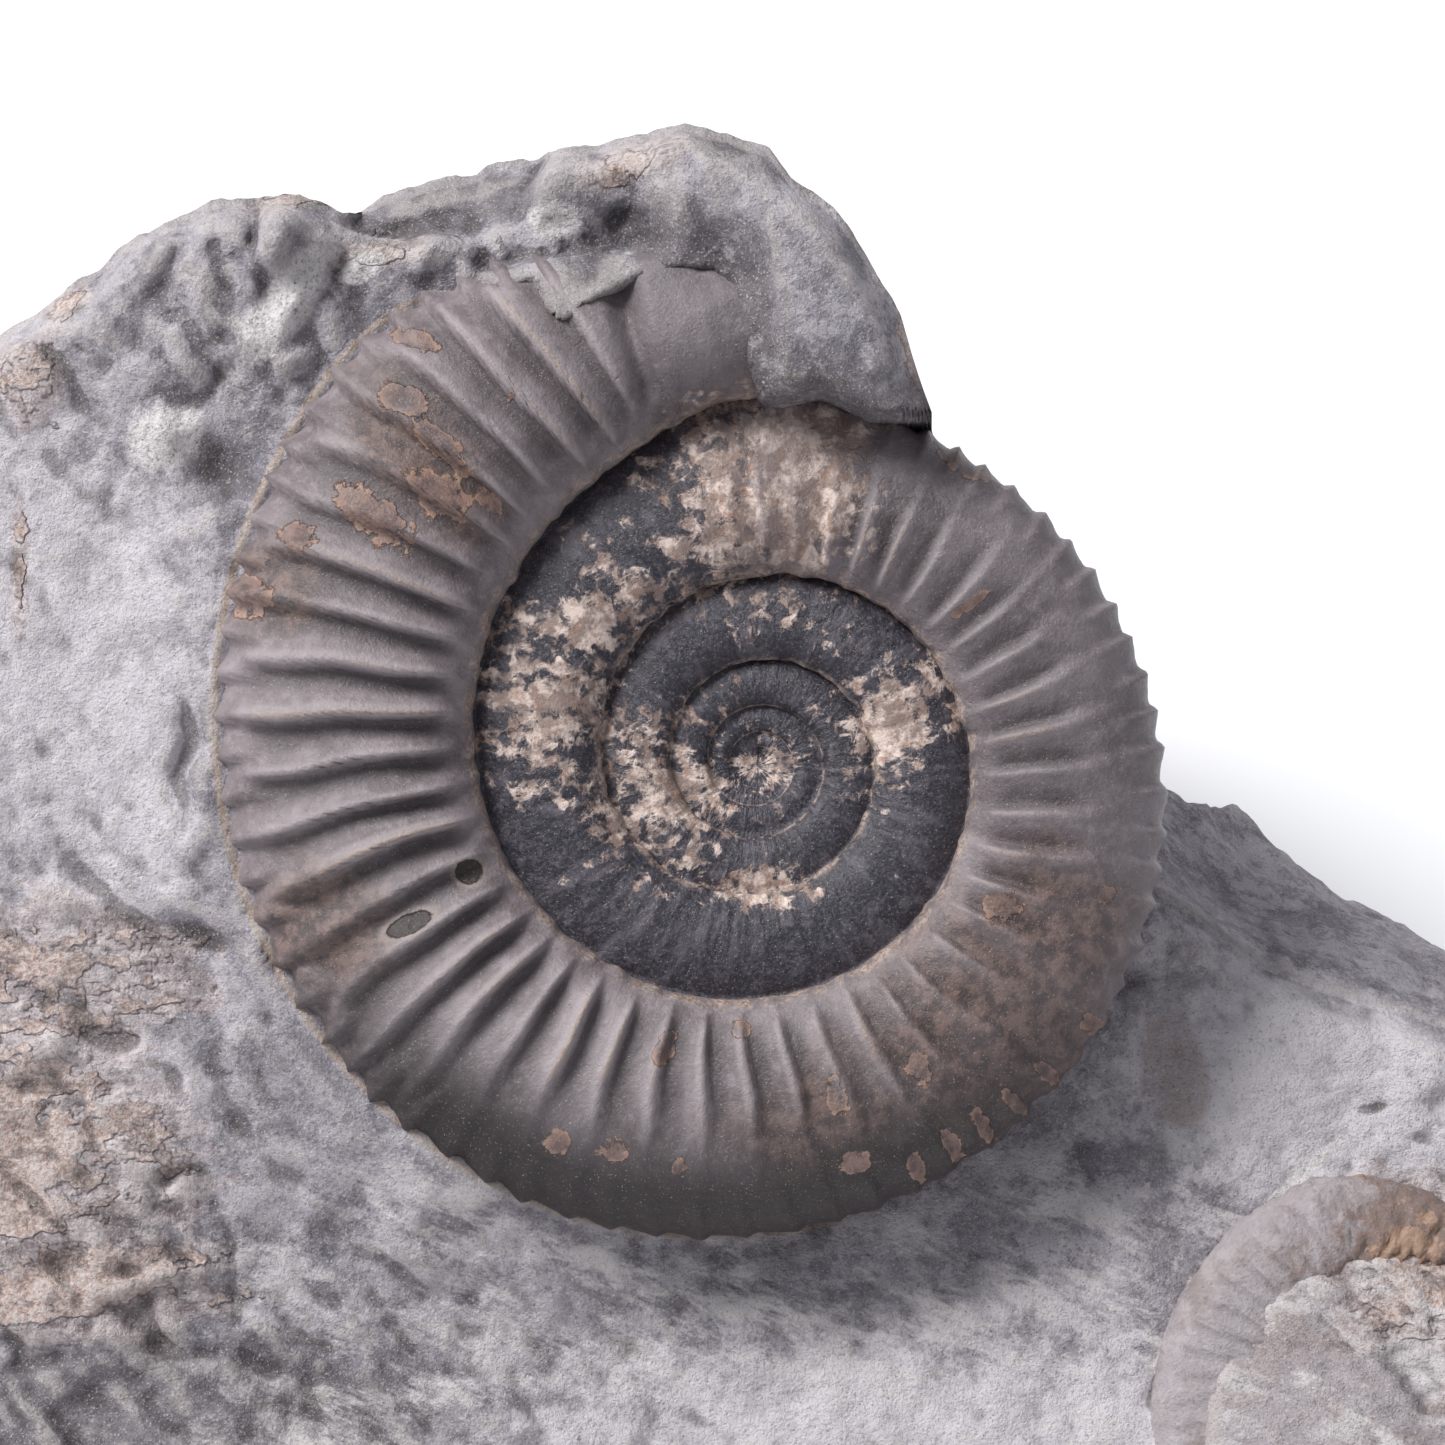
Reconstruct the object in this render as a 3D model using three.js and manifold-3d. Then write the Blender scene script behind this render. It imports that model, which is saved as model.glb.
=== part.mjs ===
// Ammonite fossil in a lump of limestone.
//
// The frame: millimetres, +X across the lump, -Y towards the viewer, +Z up. The origin lies on the flat
// underside of the stone, below its middle. The fossil's face leans back, so that it looks up at the viewer.
//
// Face coordinates: "across" runs along +X, "up" runs up the leaning face and "out" stands off it. Their
// zero is the centre of the large shell's coil, on the shell's plane of symmetry.

import * as THREE from 'three';
import { mergeVertices } from 'three/addons/utils/BufferGeometryUtils.js';
import Module from 'manifold-3d';

const wasm = await Module();
wasm.setup();

// ---------------------------------------------------------------- driving dimensions (millimetres)

const FACE_LEAN = THREE.MathUtils.degToRad(48); // elevation of the face's outward normal
const COIL_CENTRE = new THREE.Vector3(0, -3, 40);

const GROWTH_PER_TURN = 1.8; // each turn is this many times the size of the one inside it
const VENTER_RADIUS = 22.85; // outer radius of the large shell where a turn crosses the across axis
const SEAM_OVERLAP = 0.948; // a turn starts at this share of the radius of the turn inside it
const HALF_BREADTH = 0.2; // half the shell's thickness, as a share of its outer radius
const FLANK_CREST = 0.38; // where a turn is thickest, from its seam (0) to its venter (1)
const SECTION_SQUARENESS = 2.3; // 2 is an ellipse, more is squarer
const LAST_TURN_END = 0.755; // turns past the across axis at which the shell ends
const END_TAPER_START = 0.62; // from here to the end the last part of the shell is pressed lower
const END_TAPER = 0.17; // share of the radius lost there

const RIBS_PER_TURN = 44;
const RIB_HEIGHT = 0.02; // rib height as a share of the outer radius
const VENTER_RIBS = 0.6; // rib height at the venter, as a share of that on the flank

const SOCKET_GAP = 0.35; // clear space between a shell and the stone round it
const MOUTH_GAP = 0.005; // the same past the shell's mouth, in turns
const FOLD_SWELL = 0.4; // how far a socket moves inwards at the seams, as a share of its swell

const SECOND_SHELL_STEPS = 48; // columns in one turn of the smaller shell
const SOCKET_STEPS = 48; // columns in one turn of a socket

const WELD_DISTANCE = 1e-4; // points closer than this are one point
const LEAST_AREA = 1e-7; // thinner triangles are left out
const LEAST_ANGLE = 1e-6; // radians

// ---------------------------------------------------------------- face frame

const acrossAxis = new THREE.Vector3(1, 0, 0);
const upAxis = new THREE.Vector3(0, Math.sin(FACE_LEAN), Math.cos(FACE_LEAN));
const outAxis = new THREE.Vector3(0, -Math.cos(FACE_LEAN), Math.sin(FACE_LEAN));

function onFace(across, up, out) {
  return COIL_CENTRE.clone()
    .addScaledVector(acrossAxis, across)
    .addScaledVector(upAxis, up)
    .addScaledVector(outAxis, out);
}

// ---------------------------------------------------------------- meshes and solids

// A closed geometry from a list of triangles, each three points.
function geometryFromTriangles(triangles) {
  const geometry = new THREE.BufferGeometry().setFromPoints(triangles.flat());
  return mergeVertices(geometry, WELD_DISTANCE);
}

// Adds the two triangles of every cell of a grid of points; cells that have shrunk to an edge are skipped.
function addGrid(triangles, grid, flipped = false) {
  const add = (a, b, c) => {
    const area = b.clone().sub(a).cross(c.clone().sub(a)).length();
    if (area > LEAST_AREA) {
      triangles.push(flipped ? [a, c, b] : [a, b, c]);
    }
  };
  for (let i = 0; i + 1 < grid.length; i += 1) {
    for (let j = 0; j + 1 < grid[i].length; j += 1) {
      add(grid[i][j], grid[i + 1][j], grid[i + 1][j + 1]);
      add(grid[i][j], grid[i + 1][j + 1], grid[i][j + 1]);
    }
  }
}

function toSolid(geometry) {
  return new wasm.Manifold(new wasm.Mesh({
    numProp: 3,
    vertProperties: new Float32Array(geometry.attributes.position.array),
    triVerts: new Uint32Array(geometry.index.array),
  }));
}

function toGeometry(solid) {
  const mesh = solid.getMesh();
  const geometry = new THREE.BufferGeometry();
  geometry.setAttribute('position', new THREE.BufferAttribute(mesh.vertProperties, 3));
  geometry.setIndex(new THREE.BufferAttribute(mesh.triVerts, 1));
  return geometry;
}

function smoothStep(from, to, value) {
  return THREE.MathUtils.smoothstep(value, from, to);
}

// ---------------------------------------------------------------- coiled shell

// Outer radius of a shell after a number of turns: a logarithmic spiral, pressed lower near its end.
function venterRadius(turn) {
  const pressed = 1 - END_TAPER * smoothStep(END_TAPER_START, LAST_TURN_END, turn);
  return VENTER_RADIUS * GROWTH_PER_TURN ** turn * pressed;
}

// Radius of the seam where a turn starts on the one inside it.
function seamRadius(turn) {
  return venterRadius(turn - 1) * SEAM_OVERLAP;
}

const sharpen = (value) => Math.abs(value) ** (2 / SECTION_SQUARENESS);

// The sweep angle at which the next turn covers this one.
const seamShare = SEAM_OVERLAP / GROWTH_PER_TURN;
const coveredShare = (SEAM_OVERLAP - seamShare) / (1 - seamShare);
const COVERED_SWEEP = Math.PI
  - Math.acos(((coveredShare - FLANK_CREST) / (1 - FLANK_CREST)) ** (SECTION_SQUARENESS / 2));
const SEAM_LIFT = sharpen(Math.sin(COVERED_SWEEP)) / GROWTH_PER_TURN;

// A point of the shell's section: the sweep runs from the seam (0) over the flank to the venter (pi).
function sectionPoint(turn, sweep) {
  const breadth = HALF_BREADTH * VENTER_RADIUS * GROWTH_PER_TURN ** turn;
  const innerHalf = sweep < Math.PI / 2;
  const share = innerHalf
    ? FLANK_CREST * (1 - Math.cos(sweep))
    : FLANK_CREST + (1 - FLANK_CREST) * sharpen(Math.cos(sweep));
  const start = innerHalf ? SEAM_LIFT * breadth : 0;
  return {
    radius: THREE.MathUtils.lerp(seamRadius(turn), venterRadius(turn), share),
    lift: start + (breadth - start) * sharpen(Math.sin(sweep)),
  };
}

// Sweeps shared by all turns, then those of the last turn only.
const SHARED_SWEEPS = [0, 0.45, 0.75, 1].map((share) => share * COVERED_SWEEP);
const VENTER_SWEEPS = [0.33, 0.66, 1].map((share) => THREE.MathUtils.lerp(COVERED_SWEEP, Math.PI, share));

// A closed coiled shell. place(across, up, out) puts its points, steps is how many columns a turn has,
// ribs is the rib height as a share of the radius, swell moves its whole surface outwards, and overrun
// carries its mouth further, in turns.
function coiledShell({ place, steps, turns, scale = 1, ribs = 0, swell = 0, overrun = 0 }) {
  const last = Math.round(steps * turns);
  const turnAt = (column) => LAST_TURN_END + overrun - (last - column) / steps;

  // Where the next turn covers this one the surface folds inwards, so there it swells towards the middle.
  function shellPoint(column, sweep, side) {
    const turn = turnAt(column);
    const section = sectionPoint(turn, sweep);
    const onVenter = sweep > Math.PI / 2 ? VENTER_RIBS * Math.cos(sweep) ** 4 : 0;
    const crestOrValley = column % 2 === 0 ? 1 : -1;
    const rib = crestOrValley * (ribs / 2) * venterRadius(turn) * (Math.sin(sweep) ** 2 + onVenter);
    const outward = sweep > Math.PI / 2 ? sharpen(Math.cos(sweep)) : -FOLD_SWELL * Math.cos(sweep);
    const isFold = sweep === COVERED_SWEEP && column <= last - steps;
    const radius = scale * (section.radius + rib * outward) + swell * (isFold ? -FOLD_SWELL : outward);
    const lift = scale * (section.lift + rib * Math.sin(sweep)) + swell;
    const atVenter = sweep > Math.PI - LEAST_ANGLE;
    const angle = 2 * Math.PI * turn;
    return place(radius * Math.cos(angle), -radius * Math.sin(angle), side * (atVenter ? 0 : lift));
  }

  // The point where column c ends under the next turn, which is also where that turn's column starts.
  const centre = { 1: null, '-1': null };
  for (const side of [1, -1]) {
    const lift = shellPoint(0, COVERED_SWEEP, side);
    const opposite = shellPoint(steps / 2, COVERED_SWEEP, side);
    centre[side] = lift.add(opposite).multiplyScalar(0.5);
  }
  const seamPoint = (column, side) => (column < 0 ? centre[side] : shellPoint(column, COVERED_SWEEP, side));

  function sharedRow(column, side) {
    return SHARED_SWEEPS.map((sweep, row) => {
      if (row === 0) {
        return seamPoint(column - steps, side);
      }
      const covered = row === SHARED_SWEEPS.length - 1;
      return column < steps && !covered ? centre[side] : shellPoint(column, sweep, side);
    });
  }

  function venterRow(column) {
    const front = VENTER_SWEEPS.map((sweep) => shellPoint(column, sweep, 1));
    const back = VENTER_SWEEPS.slice(0, -1).reverse().map((sweep) => shellPoint(column, sweep, -1));
    return [seamPoint(column, 1), ...front, ...back, seamPoint(column, -1)];
  }

  const columns = Array.from({ length: last + 1 }, (unused, column) => column);
  const triangles = [];
  addGrid(triangles, columns.map((column) => sharedRow(column, 1)));
  addGrid(triangles, columns.map((column) => sharedRow(column, -1)), true);
  addGrid(triangles, columns.filter((column) => column >= last - steps).map(venterRow));

  // The shell's mouth: a flat face between the last section and the venter of the turn inside it.
  const front = sharedRow(last, 1);
  const back = sharedRow(last, -1).reverse();
  const rim = [...front.slice(0, -1), ...venterRow(last), ...back.slice(1)];
  const inner = venterRow(last - steps).slice(1, -1);
  const middle = rim[Math.floor(rim.length / 4)].clone()
    .add(rim[rim.length - 1 - Math.floor(rim.length / 4)]).multiplyScalar(0.5);
  const loop = [...rim, ...inner.reverse()];
  loop.forEach((point, index) => {
    triangles.push([middle, loop[(index + 1) % loop.length], point]);
  });
  return geometryFromTriangles(triangles);
}

// ---------------------------------------------------------------- stone

// The stone's skyline as seen square to the face: across, up.
const SKYLINE = [
  [-57, 2], [-55, 11], [-50, 18.5], [-42.4, 24.6], [-40.2, 26], [-30.6, 31.4], [-25.6, 32], [-20, 31.9],
  [-13, 33], [-11, 33.9], [-8.2, 35], [-3.8, 35.8], [1.8, 32.8], [5.2, 29.7], [8, 24.9], [9.2, 21],
  [12, 13], [17, 3], [23, -7], [29.8, -11.8], [34, -13.4], [38.5, -14.6], [46, -18], [50.5, -23.5],
  [52, -29],
];

// The front foot of the face, seen the same way.
const FACE_FOOT = [
  [-57, -14], [-55, -30], [-48, -41], [-36, -47], [-15, -49], [10, -48.5], [30, -50.5], [42, -50.5],
  [49, -47], [52, -40],
];

// Where the back of the stone meets the ground: across, distance back (+Y).
const BACK_FOOT = [
  [-57, 6], [-54, 17], [-46, 27], [-33, 33], [-15, 35], [3, 34], [16, 28], [30, 17], [42, 8], [49, -4],
  [52, -18],
];

// Broad rises and hollows of the face. Each is a bell: its middle, its height and its reach each way.
const FACE_RELIEF = [
  { across: -40, up: 4, height: 2, wide: 11, tall: 15 }, // shelf left of the shell
  { across: -26, up: 28, height: 5.5, wide: 9, tall: 6 }, // ridge above and left of the shell
  { across: -5, up: 31, height: 6.5, wide: 8, tall: 4.5 }, // rough band over the top of the shell
  { across: 28, up: -20, height: -7.6, wide: 20, tall: 13 }, // hollow below the free rim
  { across: 2, up: -34, height: -1.4, wide: 16, tall: 7 }, // trough below the shell
  { across: 38, up: -38, height: 8, wide: 11, tall: 10 }, // mound that holds the second shell
  { across: -26, up: -45, height: 4, wide: 16, tall: 6 }, // ridge along the lower left
];
const FACE_LEVEL = -0.3;

// The lobe of stone that laps over the mouth of the shell.
const LOBE = {
  left: -1.2, // its left edge, where it passes the height of its middle
  slope: 0.33, // how far that edge leans left for each millimetre up
  bottom: 20.4,
  edge: 1.6, // width of its sloping edge
  across: 1,
  up: 27,
  height: 9.4,
  crown: 0.012, // how fast its top falls away from its middle
  floor: -20, // beyond its edge it lies this low, well inside the stone
};

// A step down behind the ridge, where a second ridge shows further back.
const BACK_STEP = {
  from: -22.5,
  to: -12.5,
  side: 1, // half the width of its sloping sides
  up: 29.9,
  tall: 1.2, // how far up the face its drop takes
  drop: 9,
};

function alongOutline(outline, across) {
  const after = Math.max(1, outline.findIndex(([x]) => x >= across));
  const [x0, y0] = outline[after - 1];
  const [x1, y1] = outline[after];
  return THREE.MathUtils.lerp(y0, y1, (across - x0) / (x1 - x0));
}

function lobeHeight(across, up) {
  const fromLeft = across - (LOBE.left - LOBE.slope * (up - LOBE.up));
  const fromBottom = up - LOBE.bottom;
  const inside = smoothStep(0, LOBE.edge, Math.min(fromLeft, fromBottom));
  const crown = LOBE.crown * ((across - LOBE.across) ** 2 + (up - LOBE.up) ** 2);
  return THREE.MathUtils.lerp(LOBE.floor, LOBE.height - crown, inside);
}

// Height of the stone's face over the shell's plane of symmetry.
function faceHeight(across, up) {
  const relief = FACE_RELIEF.reduce((sum, bell) => {
    const x = (across - bell.across) / bell.wide;
    const y = (up - bell.up) / bell.tall;
    return sum + bell.height * Math.exp(-(x * x + y * y) / 2);
  }, FACE_LEVEL);
  const { from, to, side, up: stepUp, tall, drop } = BACK_STEP;
  const onStep = smoothStep(from - side, from + side, across)
    * (1 - smoothStep(to - side, to + side, across));
  const stepped = relief - drop * onStep * smoothStep(stepUp, stepUp + tall, up);
  return Math.max(stepped, lobeHeight(across, up));
}

const STONE_COLUMNS = 46;
const FACE_ROWS = 34;
const BACK_ROWS = 8;
const BASE_ROWS = 3;
const EDGE_ROUNDING = 2.2; // how far the face falls off at its skyline and foot
const BACK_BULGE = 7; // how far the back of the stone stands out between its skyline and its foot
const BULGE_RISE = 0.35; // and how far it also rises there, as a share of that
const UNDERCUT = 2; // how far the front foot stands back from the face above it

// One closed slice of the stone at a place across: up the face, down the back and along the underside.
function stoneSlice(across) {
  const top = alongOutline(SKYLINE, across);
  const foot = alongOutline(FACE_FOOT, across);
  const backFoot = alongOutline(BACK_FOOT, across);
  const points = [];
  for (let row = 0; row <= FACE_ROWS; row += 1) {
    const share = row / FACE_ROWS;
    const up = THREE.MathUtils.lerp(foot, top, share);
    const fromEdge = Math.min(up - foot, top - up);
    const rounding = EDGE_ROUNDING * (1 - smoothStep(0, EDGE_ROUNDING, fromEdge)) ** 2;
    points.push(onFace(across, up, faceHeight(across, up) - rounding));
  }
  const crest = points[points.length - 1];
  const heel = new THREE.Vector3(across, backFoot, 0);
  for (let row = 1; row <= BACK_ROWS; row += 1) {
    const share = row / BACK_ROWS;
    const point = crest.clone().lerp(heel, share);
    const bulge = BACK_BULGE * Math.sin(Math.PI * share);
    points.push(point.add(new THREE.Vector3(0, bulge, bulge * BULGE_RISE)));
  }
  const toe = new THREE.Vector3(across, points[0].y + UNDERCUT, 0);
  for (let row = 1; row <= BASE_ROWS; row += 1) {
    points.push(heel.clone().lerp(toe, row / BASE_ROWS));
  }
  points.push(points[0].clone());
  return points;
}

function stoneLump() {
  const left = SKYLINE[0][0];
  const right = SKYLINE[SKYLINE.length - 1][0];
  const slices = [];
  for (let column = 0; column <= STONE_COLUMNS; column += 1) {
    slices.push(stoneSlice(THREE.MathUtils.lerp(left, right, column / STONE_COLUMNS)));
  }
  const triangles = [];
  addGrid(triangles, slices);
  [slices[0], slices[STONE_COLUMNS]].forEach((slice, end) => {
    const rim = slice.slice(0, -1);
    const middle = rim.reduce((sum, point) => sum.add(point), new THREE.Vector3())
      .divideScalar(rim.length);
    rim.forEach((point, index) => {
      const next = rim[(index + 1) % rim.length];
      triangles.push(end === 0 ? [middle, point, next] : [middle, next, point]);
    });
  });
  return geometryFromTriangles(triangles);
}

// ---------------------------------------------------------------- the two shells and their sockets

const SECOND_SHELL = {
  scale: 0.46,
  across: 36,
  up: -38,
  out: -1,
  lean: THREE.MathUtils.degToRad(-12), // its upper edge dips this much into the stone
  roll: THREE.MathUtils.degToRad(-25), // how far it is turned in its own plane
};

function onSecondShell(across, up, out) {
  const point = new THREE.Vector3(across, up, out);
  point.applyAxisAngle(new THREE.Vector3(0, 0, 1), SECOND_SHELL.roll);
  point.applyAxisAngle(new THREE.Vector3(1, 0, 0), SECOND_SHELL.lean);
  return onFace(SECOND_SHELL.across + point.x, SECOND_SHELL.up + point.y, SECOND_SHELL.out + point.z);
}

// How far a socket stands off the smooth shell, so that it clears the ribs too.
function socketSwell(scale) {
  return SOCKET_GAP + (RIB_HEIGHT / 2) * scale * venterRadius(LAST_TURN_END);
}

const firstShape = { place: onFace, turns: 4, scale: 1 };
const secondShape = { place: onSecondShell, turns: 2.5, scale: SECOND_SHELL.scale };
const ammonite = coiledShell({ ...firstShape, steps: 2 * RIBS_PER_TURN, ribs: RIB_HEIGHT });
const secondAmmonite = coiledShell({ ...secondShape, steps: SECOND_SHELL_STEPS, ribs: RIB_HEIGHT });
const [socket, secondSocket] = [firstShape, secondShape].map((shape) => coiledShell({
  ...shape,
  steps: SOCKET_STEPS,
  swell: socketSwell(shape.scale),
  overrun: MOUTH_GAP,
}));

const stone = toSolid(stoneLump())
  .subtract(toSolid(socket))
  .subtract(toSolid(secondSocket));

// ---------------------------------------------------------------- named parts

function part(name, geometry, color, roughness) {
  const material = new THREE.MeshStandardMaterial({ color, roughness, metalness: 0 });
  const mesh = new THREE.Mesh(geometry, material);
  mesh.name = name;
  return mesh;
}

const fossil = new THREE.Group();
fossil.add(part('matrix_rock', toGeometry(stone), 0x8a888c, 0.9));
fossil.add(part('ammonite', ammonite, 0x5f5a58, 0.55));
fossil.add(part('second_ammonite', secondAmmonite, 0x77706d, 0.75));

export default fossil;
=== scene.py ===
"""Ammonite fossil in a lump of limestone: the finished surfaces of the stone and of the two shells in it."""

import itertools
import math

import bpy
import numpy as np
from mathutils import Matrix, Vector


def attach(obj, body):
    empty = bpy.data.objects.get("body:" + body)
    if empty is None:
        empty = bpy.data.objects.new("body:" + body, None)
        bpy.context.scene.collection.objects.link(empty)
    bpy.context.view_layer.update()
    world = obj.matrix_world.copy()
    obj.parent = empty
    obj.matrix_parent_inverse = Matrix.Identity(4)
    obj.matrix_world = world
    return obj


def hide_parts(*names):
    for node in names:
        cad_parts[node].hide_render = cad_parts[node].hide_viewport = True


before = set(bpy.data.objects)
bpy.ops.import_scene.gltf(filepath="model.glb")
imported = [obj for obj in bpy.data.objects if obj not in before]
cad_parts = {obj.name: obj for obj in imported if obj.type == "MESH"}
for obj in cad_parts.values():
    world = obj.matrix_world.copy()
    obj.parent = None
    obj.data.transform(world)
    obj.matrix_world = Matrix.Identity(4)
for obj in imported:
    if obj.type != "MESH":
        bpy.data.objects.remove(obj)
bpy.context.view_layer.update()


# ------------------------------------------------------------------------------------ large ammonite
# The main fossil: a coiled, ribbed shell of which only the mud cast is left, turned to hard grey-brown
# stone. The inner turns keep a blue-black skin of shell. Half of it is still sunk in the limestone.

MM = 0.001
FACE_LEAN = math.radians(48)  # elevation of the fossil face's outward normal
COIL_CENTRE = np.array([0.0, -3.0, 40.0])
ACROSS = np.array([1.0, 0.0, 0.0])
UP = np.array([0.0, math.sin(FACE_LEAN), math.cos(FACE_LEAN)])
OUT = np.array([0.0, -math.cos(FACE_LEAN), math.sin(FACE_LEAN)])

GROWTH = 1.8  # each turn is this many times the size of the one inside it
VENTER_RADIUS = 22.85  # mm, outer radius where a turn crosses the across axis
SEAM_OVERLAP, SEAM_SWING, SEAM_SWING_FROM = 0.937, 0.045, 0.29  # a turn starts at about this share of the
# radius of the turn inside it; the share swings by so much once a turn, least so far past the axis
MOUTH_SWELLING, SWELLING_AT, SWELLING_REACH = 0.07, -0.25, 0.06  # the turn is swollen below the mouth
HALF_BREADTH = 0.2  # half the shell's thickness, as a share of its radius
FLANK_CREST = 0.38  # where a turn is thickest, from its seam (0) to its venter (1)
SQUARENESS = 2.3  # of its section; 2 is an ellipse
LAST_TURN_END = 0.755
END_TAPER, END_TAPER_START = 0.17, 0.62  # the last part of the shell is pressed lower

RIB_KNOTS = [-5.0, -0.35, -0.2, 0.3, 0.5, 0.69, 0.8]  # turns
RIBS_PER_TURN = [60, 60, 43, 44.2, 54, 62, 62]
RIB_LEAN = 0.016  # turns by which a rib lags behind at its outer end
CREST_SHARE = 0.74  # of the way from one crest to the next a rib falls gently, then it rises steeply
RIB_HEIGHT_KNOTS = [-1.3, -0.3, -0.22, 0.06, 0.18, 0.32, 0.42, 0.68, 0.7]
RIB_HEIGHTS = [0.0025, 0.004, 0.034, 0.03, 0.017, 0.024, 0.036, 0.038, 0.0]  # share of the radius
RIB_FADE_KNOTS, RIB_FADES = [-0.3, 0.34, 0.42], [0.85, 0.85, 0.1]  # how much the ribs fade outwards
RIB_WAVE, RIB_WAVE_REACH = 0.16, 5.5  # ribs waver by this share of their spacing, over so many mm
CRUST_HEIGHT = 0.24  # mm, of the bead of lime along each seam


def on_face(across, up, out):
    """Points of the leaning face: the coil's centre plus so much across, up and out, in metres."""
    return MM * (COIL_CENTRE + np.multiply.outer(across, ACROSS) + np.multiply.outer(up, UP)
                 + np.multiply.outer(out, OUT))


def smooth_step(low, high, value):
    """0 below low and 1 above high, and between them three times the share squared less twice its cube."""
    share = np.clip((value - low) / (high - low), 0, 1)
    return share * share * (3 - 2 * share)


def lattice_pick(cells, seed, values):
    """One row of random values for each cell of an endless lattice, found by mixing the cell's indices."""
    primes = np.array([73856093, 19349663, 83492791])[: cells.shape[-1]]
    mixed = np.bitwise_xor.reduce(cells.astype(np.int64) * primes, axis=-1)
    table = np.random.default_rng(seed).uniform(-1, 1, (8192, values))
    return table[mixed % 8192]


def ripple(points, size, seed):
    """Gradient noise: each lattice corner pulls by its random slope times the way to it, and the pulls are
    blended by an S-curve along every side. It runs from about -1 to 1."""
    scaled = points / size
    cells = np.floor(scaled)
    inside = scaled - cells
    ease = inside ** 3 * (inside * (6 * inside - 15) + 10)
    total = np.zeros(points.shape[:-1])
    for corner in itertools.product((0, 1), repeat=points.shape[-1]):
        slope = lattice_pick(cells + corner, seed, points.shape[-1])
        pull = (slope * (inside - corner)).sum(-1)
        total += pull * np.prod(np.where(np.array(corner) == 1, ease, 1 - ease), axis=-1)
    return 1.7 * total


def layered(points, size, seed, layers=4, fade=0.55):
    """A sum of ripples, each half as wide as the last and fade times as high."""
    return sum(fade ** i * ripple(points, size / 2 ** i, seed + i) for i in range(layers))


def sharpen(value):
    """A share of the section's height or width, raised to two over the squareness."""
    return np.abs(value) ** (2 / SQUARENESS)


def venter_radius(turn):
    """Radius of the outer edge: a logarithmic spiral, pressed lower towards its end and swollen in the
    inner turn where the mouth rests on it."""
    pressed = 1 - END_TAPER * smooth_step(END_TAPER_START, LAST_TURN_END, turn)
    swollen = 1 + MOUTH_SWELLING * np.exp(-((turn - SWELLING_AT) / SWELLING_REACH) ** 2)
    return VENTER_RADIUS * GROWTH ** turn * pressed * swollen


def seam_radius(turn):
    """Radius where a turn starts: the overlap's share of the radius of the turn inside it."""
    overlap = SEAM_OVERLAP - SEAM_SWING * np.cos(2 * math.pi * (turn - SEAM_SWING_FROM))
    return overlap * venter_radius(turn - 1)


def half_breadth(turn):
    """Half a turn's thickness: a fixed share of the radius of the plain spiral."""
    return HALF_BREADTH * VENTER_RADIUS * GROWTH ** turn


def covered_sweep(turn):
    """The sweep at which the next turn's seam lies on this turn: its share of the way from seam to venter,
    taken back through the outer quarter of the section."""
    seam = seam_radius(turn)
    share = (seam_radius(turn + 1) - seam) / (venter_radius(turn) - seam)
    return math.pi - np.arccos(((share - FLANK_CREST) / (1 - FLANK_CREST)) ** (SQUARENESS / 2))


def section(turn, sweep):
    """The turn's section as the sweep runs from its seam (0) over the flank to its venter (pi): a quarter
    ellipse up to the crest of the flank, and a squarer quarter from there to the venter."""
    breadth = half_breadth(turn)
    inner_half = sweep < math.pi / 2
    share = np.where(inner_half, FLANK_CREST * (1 - np.cos(sweep)),
                     FLANK_CREST + (1 - FLANK_CREST) * sharpen(np.cos(sweep)))
    start = np.where(inner_half, half_breadth(turn - 1) * sharpen(np.sin(covered_sweep(turn - 1))), 0)
    lift = start + (breadth - start) * sharpen(np.sin(np.minimum(sweep, math.pi)))
    return seam_radius(turn) + (venter_radius(turn) - seam_radius(turn)) * share, lift, share


def bell(x, y, spot):
    """A smooth hump: its height times e to minus half the squared distance, measured in its reaches."""
    middle_x, middle_y, height, wide, tall = spot
    return height * np.exp(-(((x - middle_x) / wide) ** 2 + ((y - middle_y) / tall) ** 2) / 2)


def rib_number(turn):
    """How many ribs lie between the across axis and this place: the ribs per turn, added up."""
    places = np.linspace(RIB_KNOTS[0] - 1, RIB_KNOTS[-1], 4000)
    count = np.interp(places, RIB_KNOTS, RIBS_PER_TURN)
    total = np.concatenate([[0], np.cumsum((count[1:] + count[:-1]) / 2 * np.diff(places))])
    return np.interp(turn, places, total) - np.interp(0, places, total)


def rib_profile(number):
    """One rib: 1 at its sharp crest, a concave fall behind it, and a steep rise to the next crest."""
    share = number % 1
    fall = np.clip(1 - share / CREST_SHARE, 0, 1) ** 1.5
    return np.maximum(fall, smooth_step(CREST_SHARE, 1, share) ** 1.3)


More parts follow.
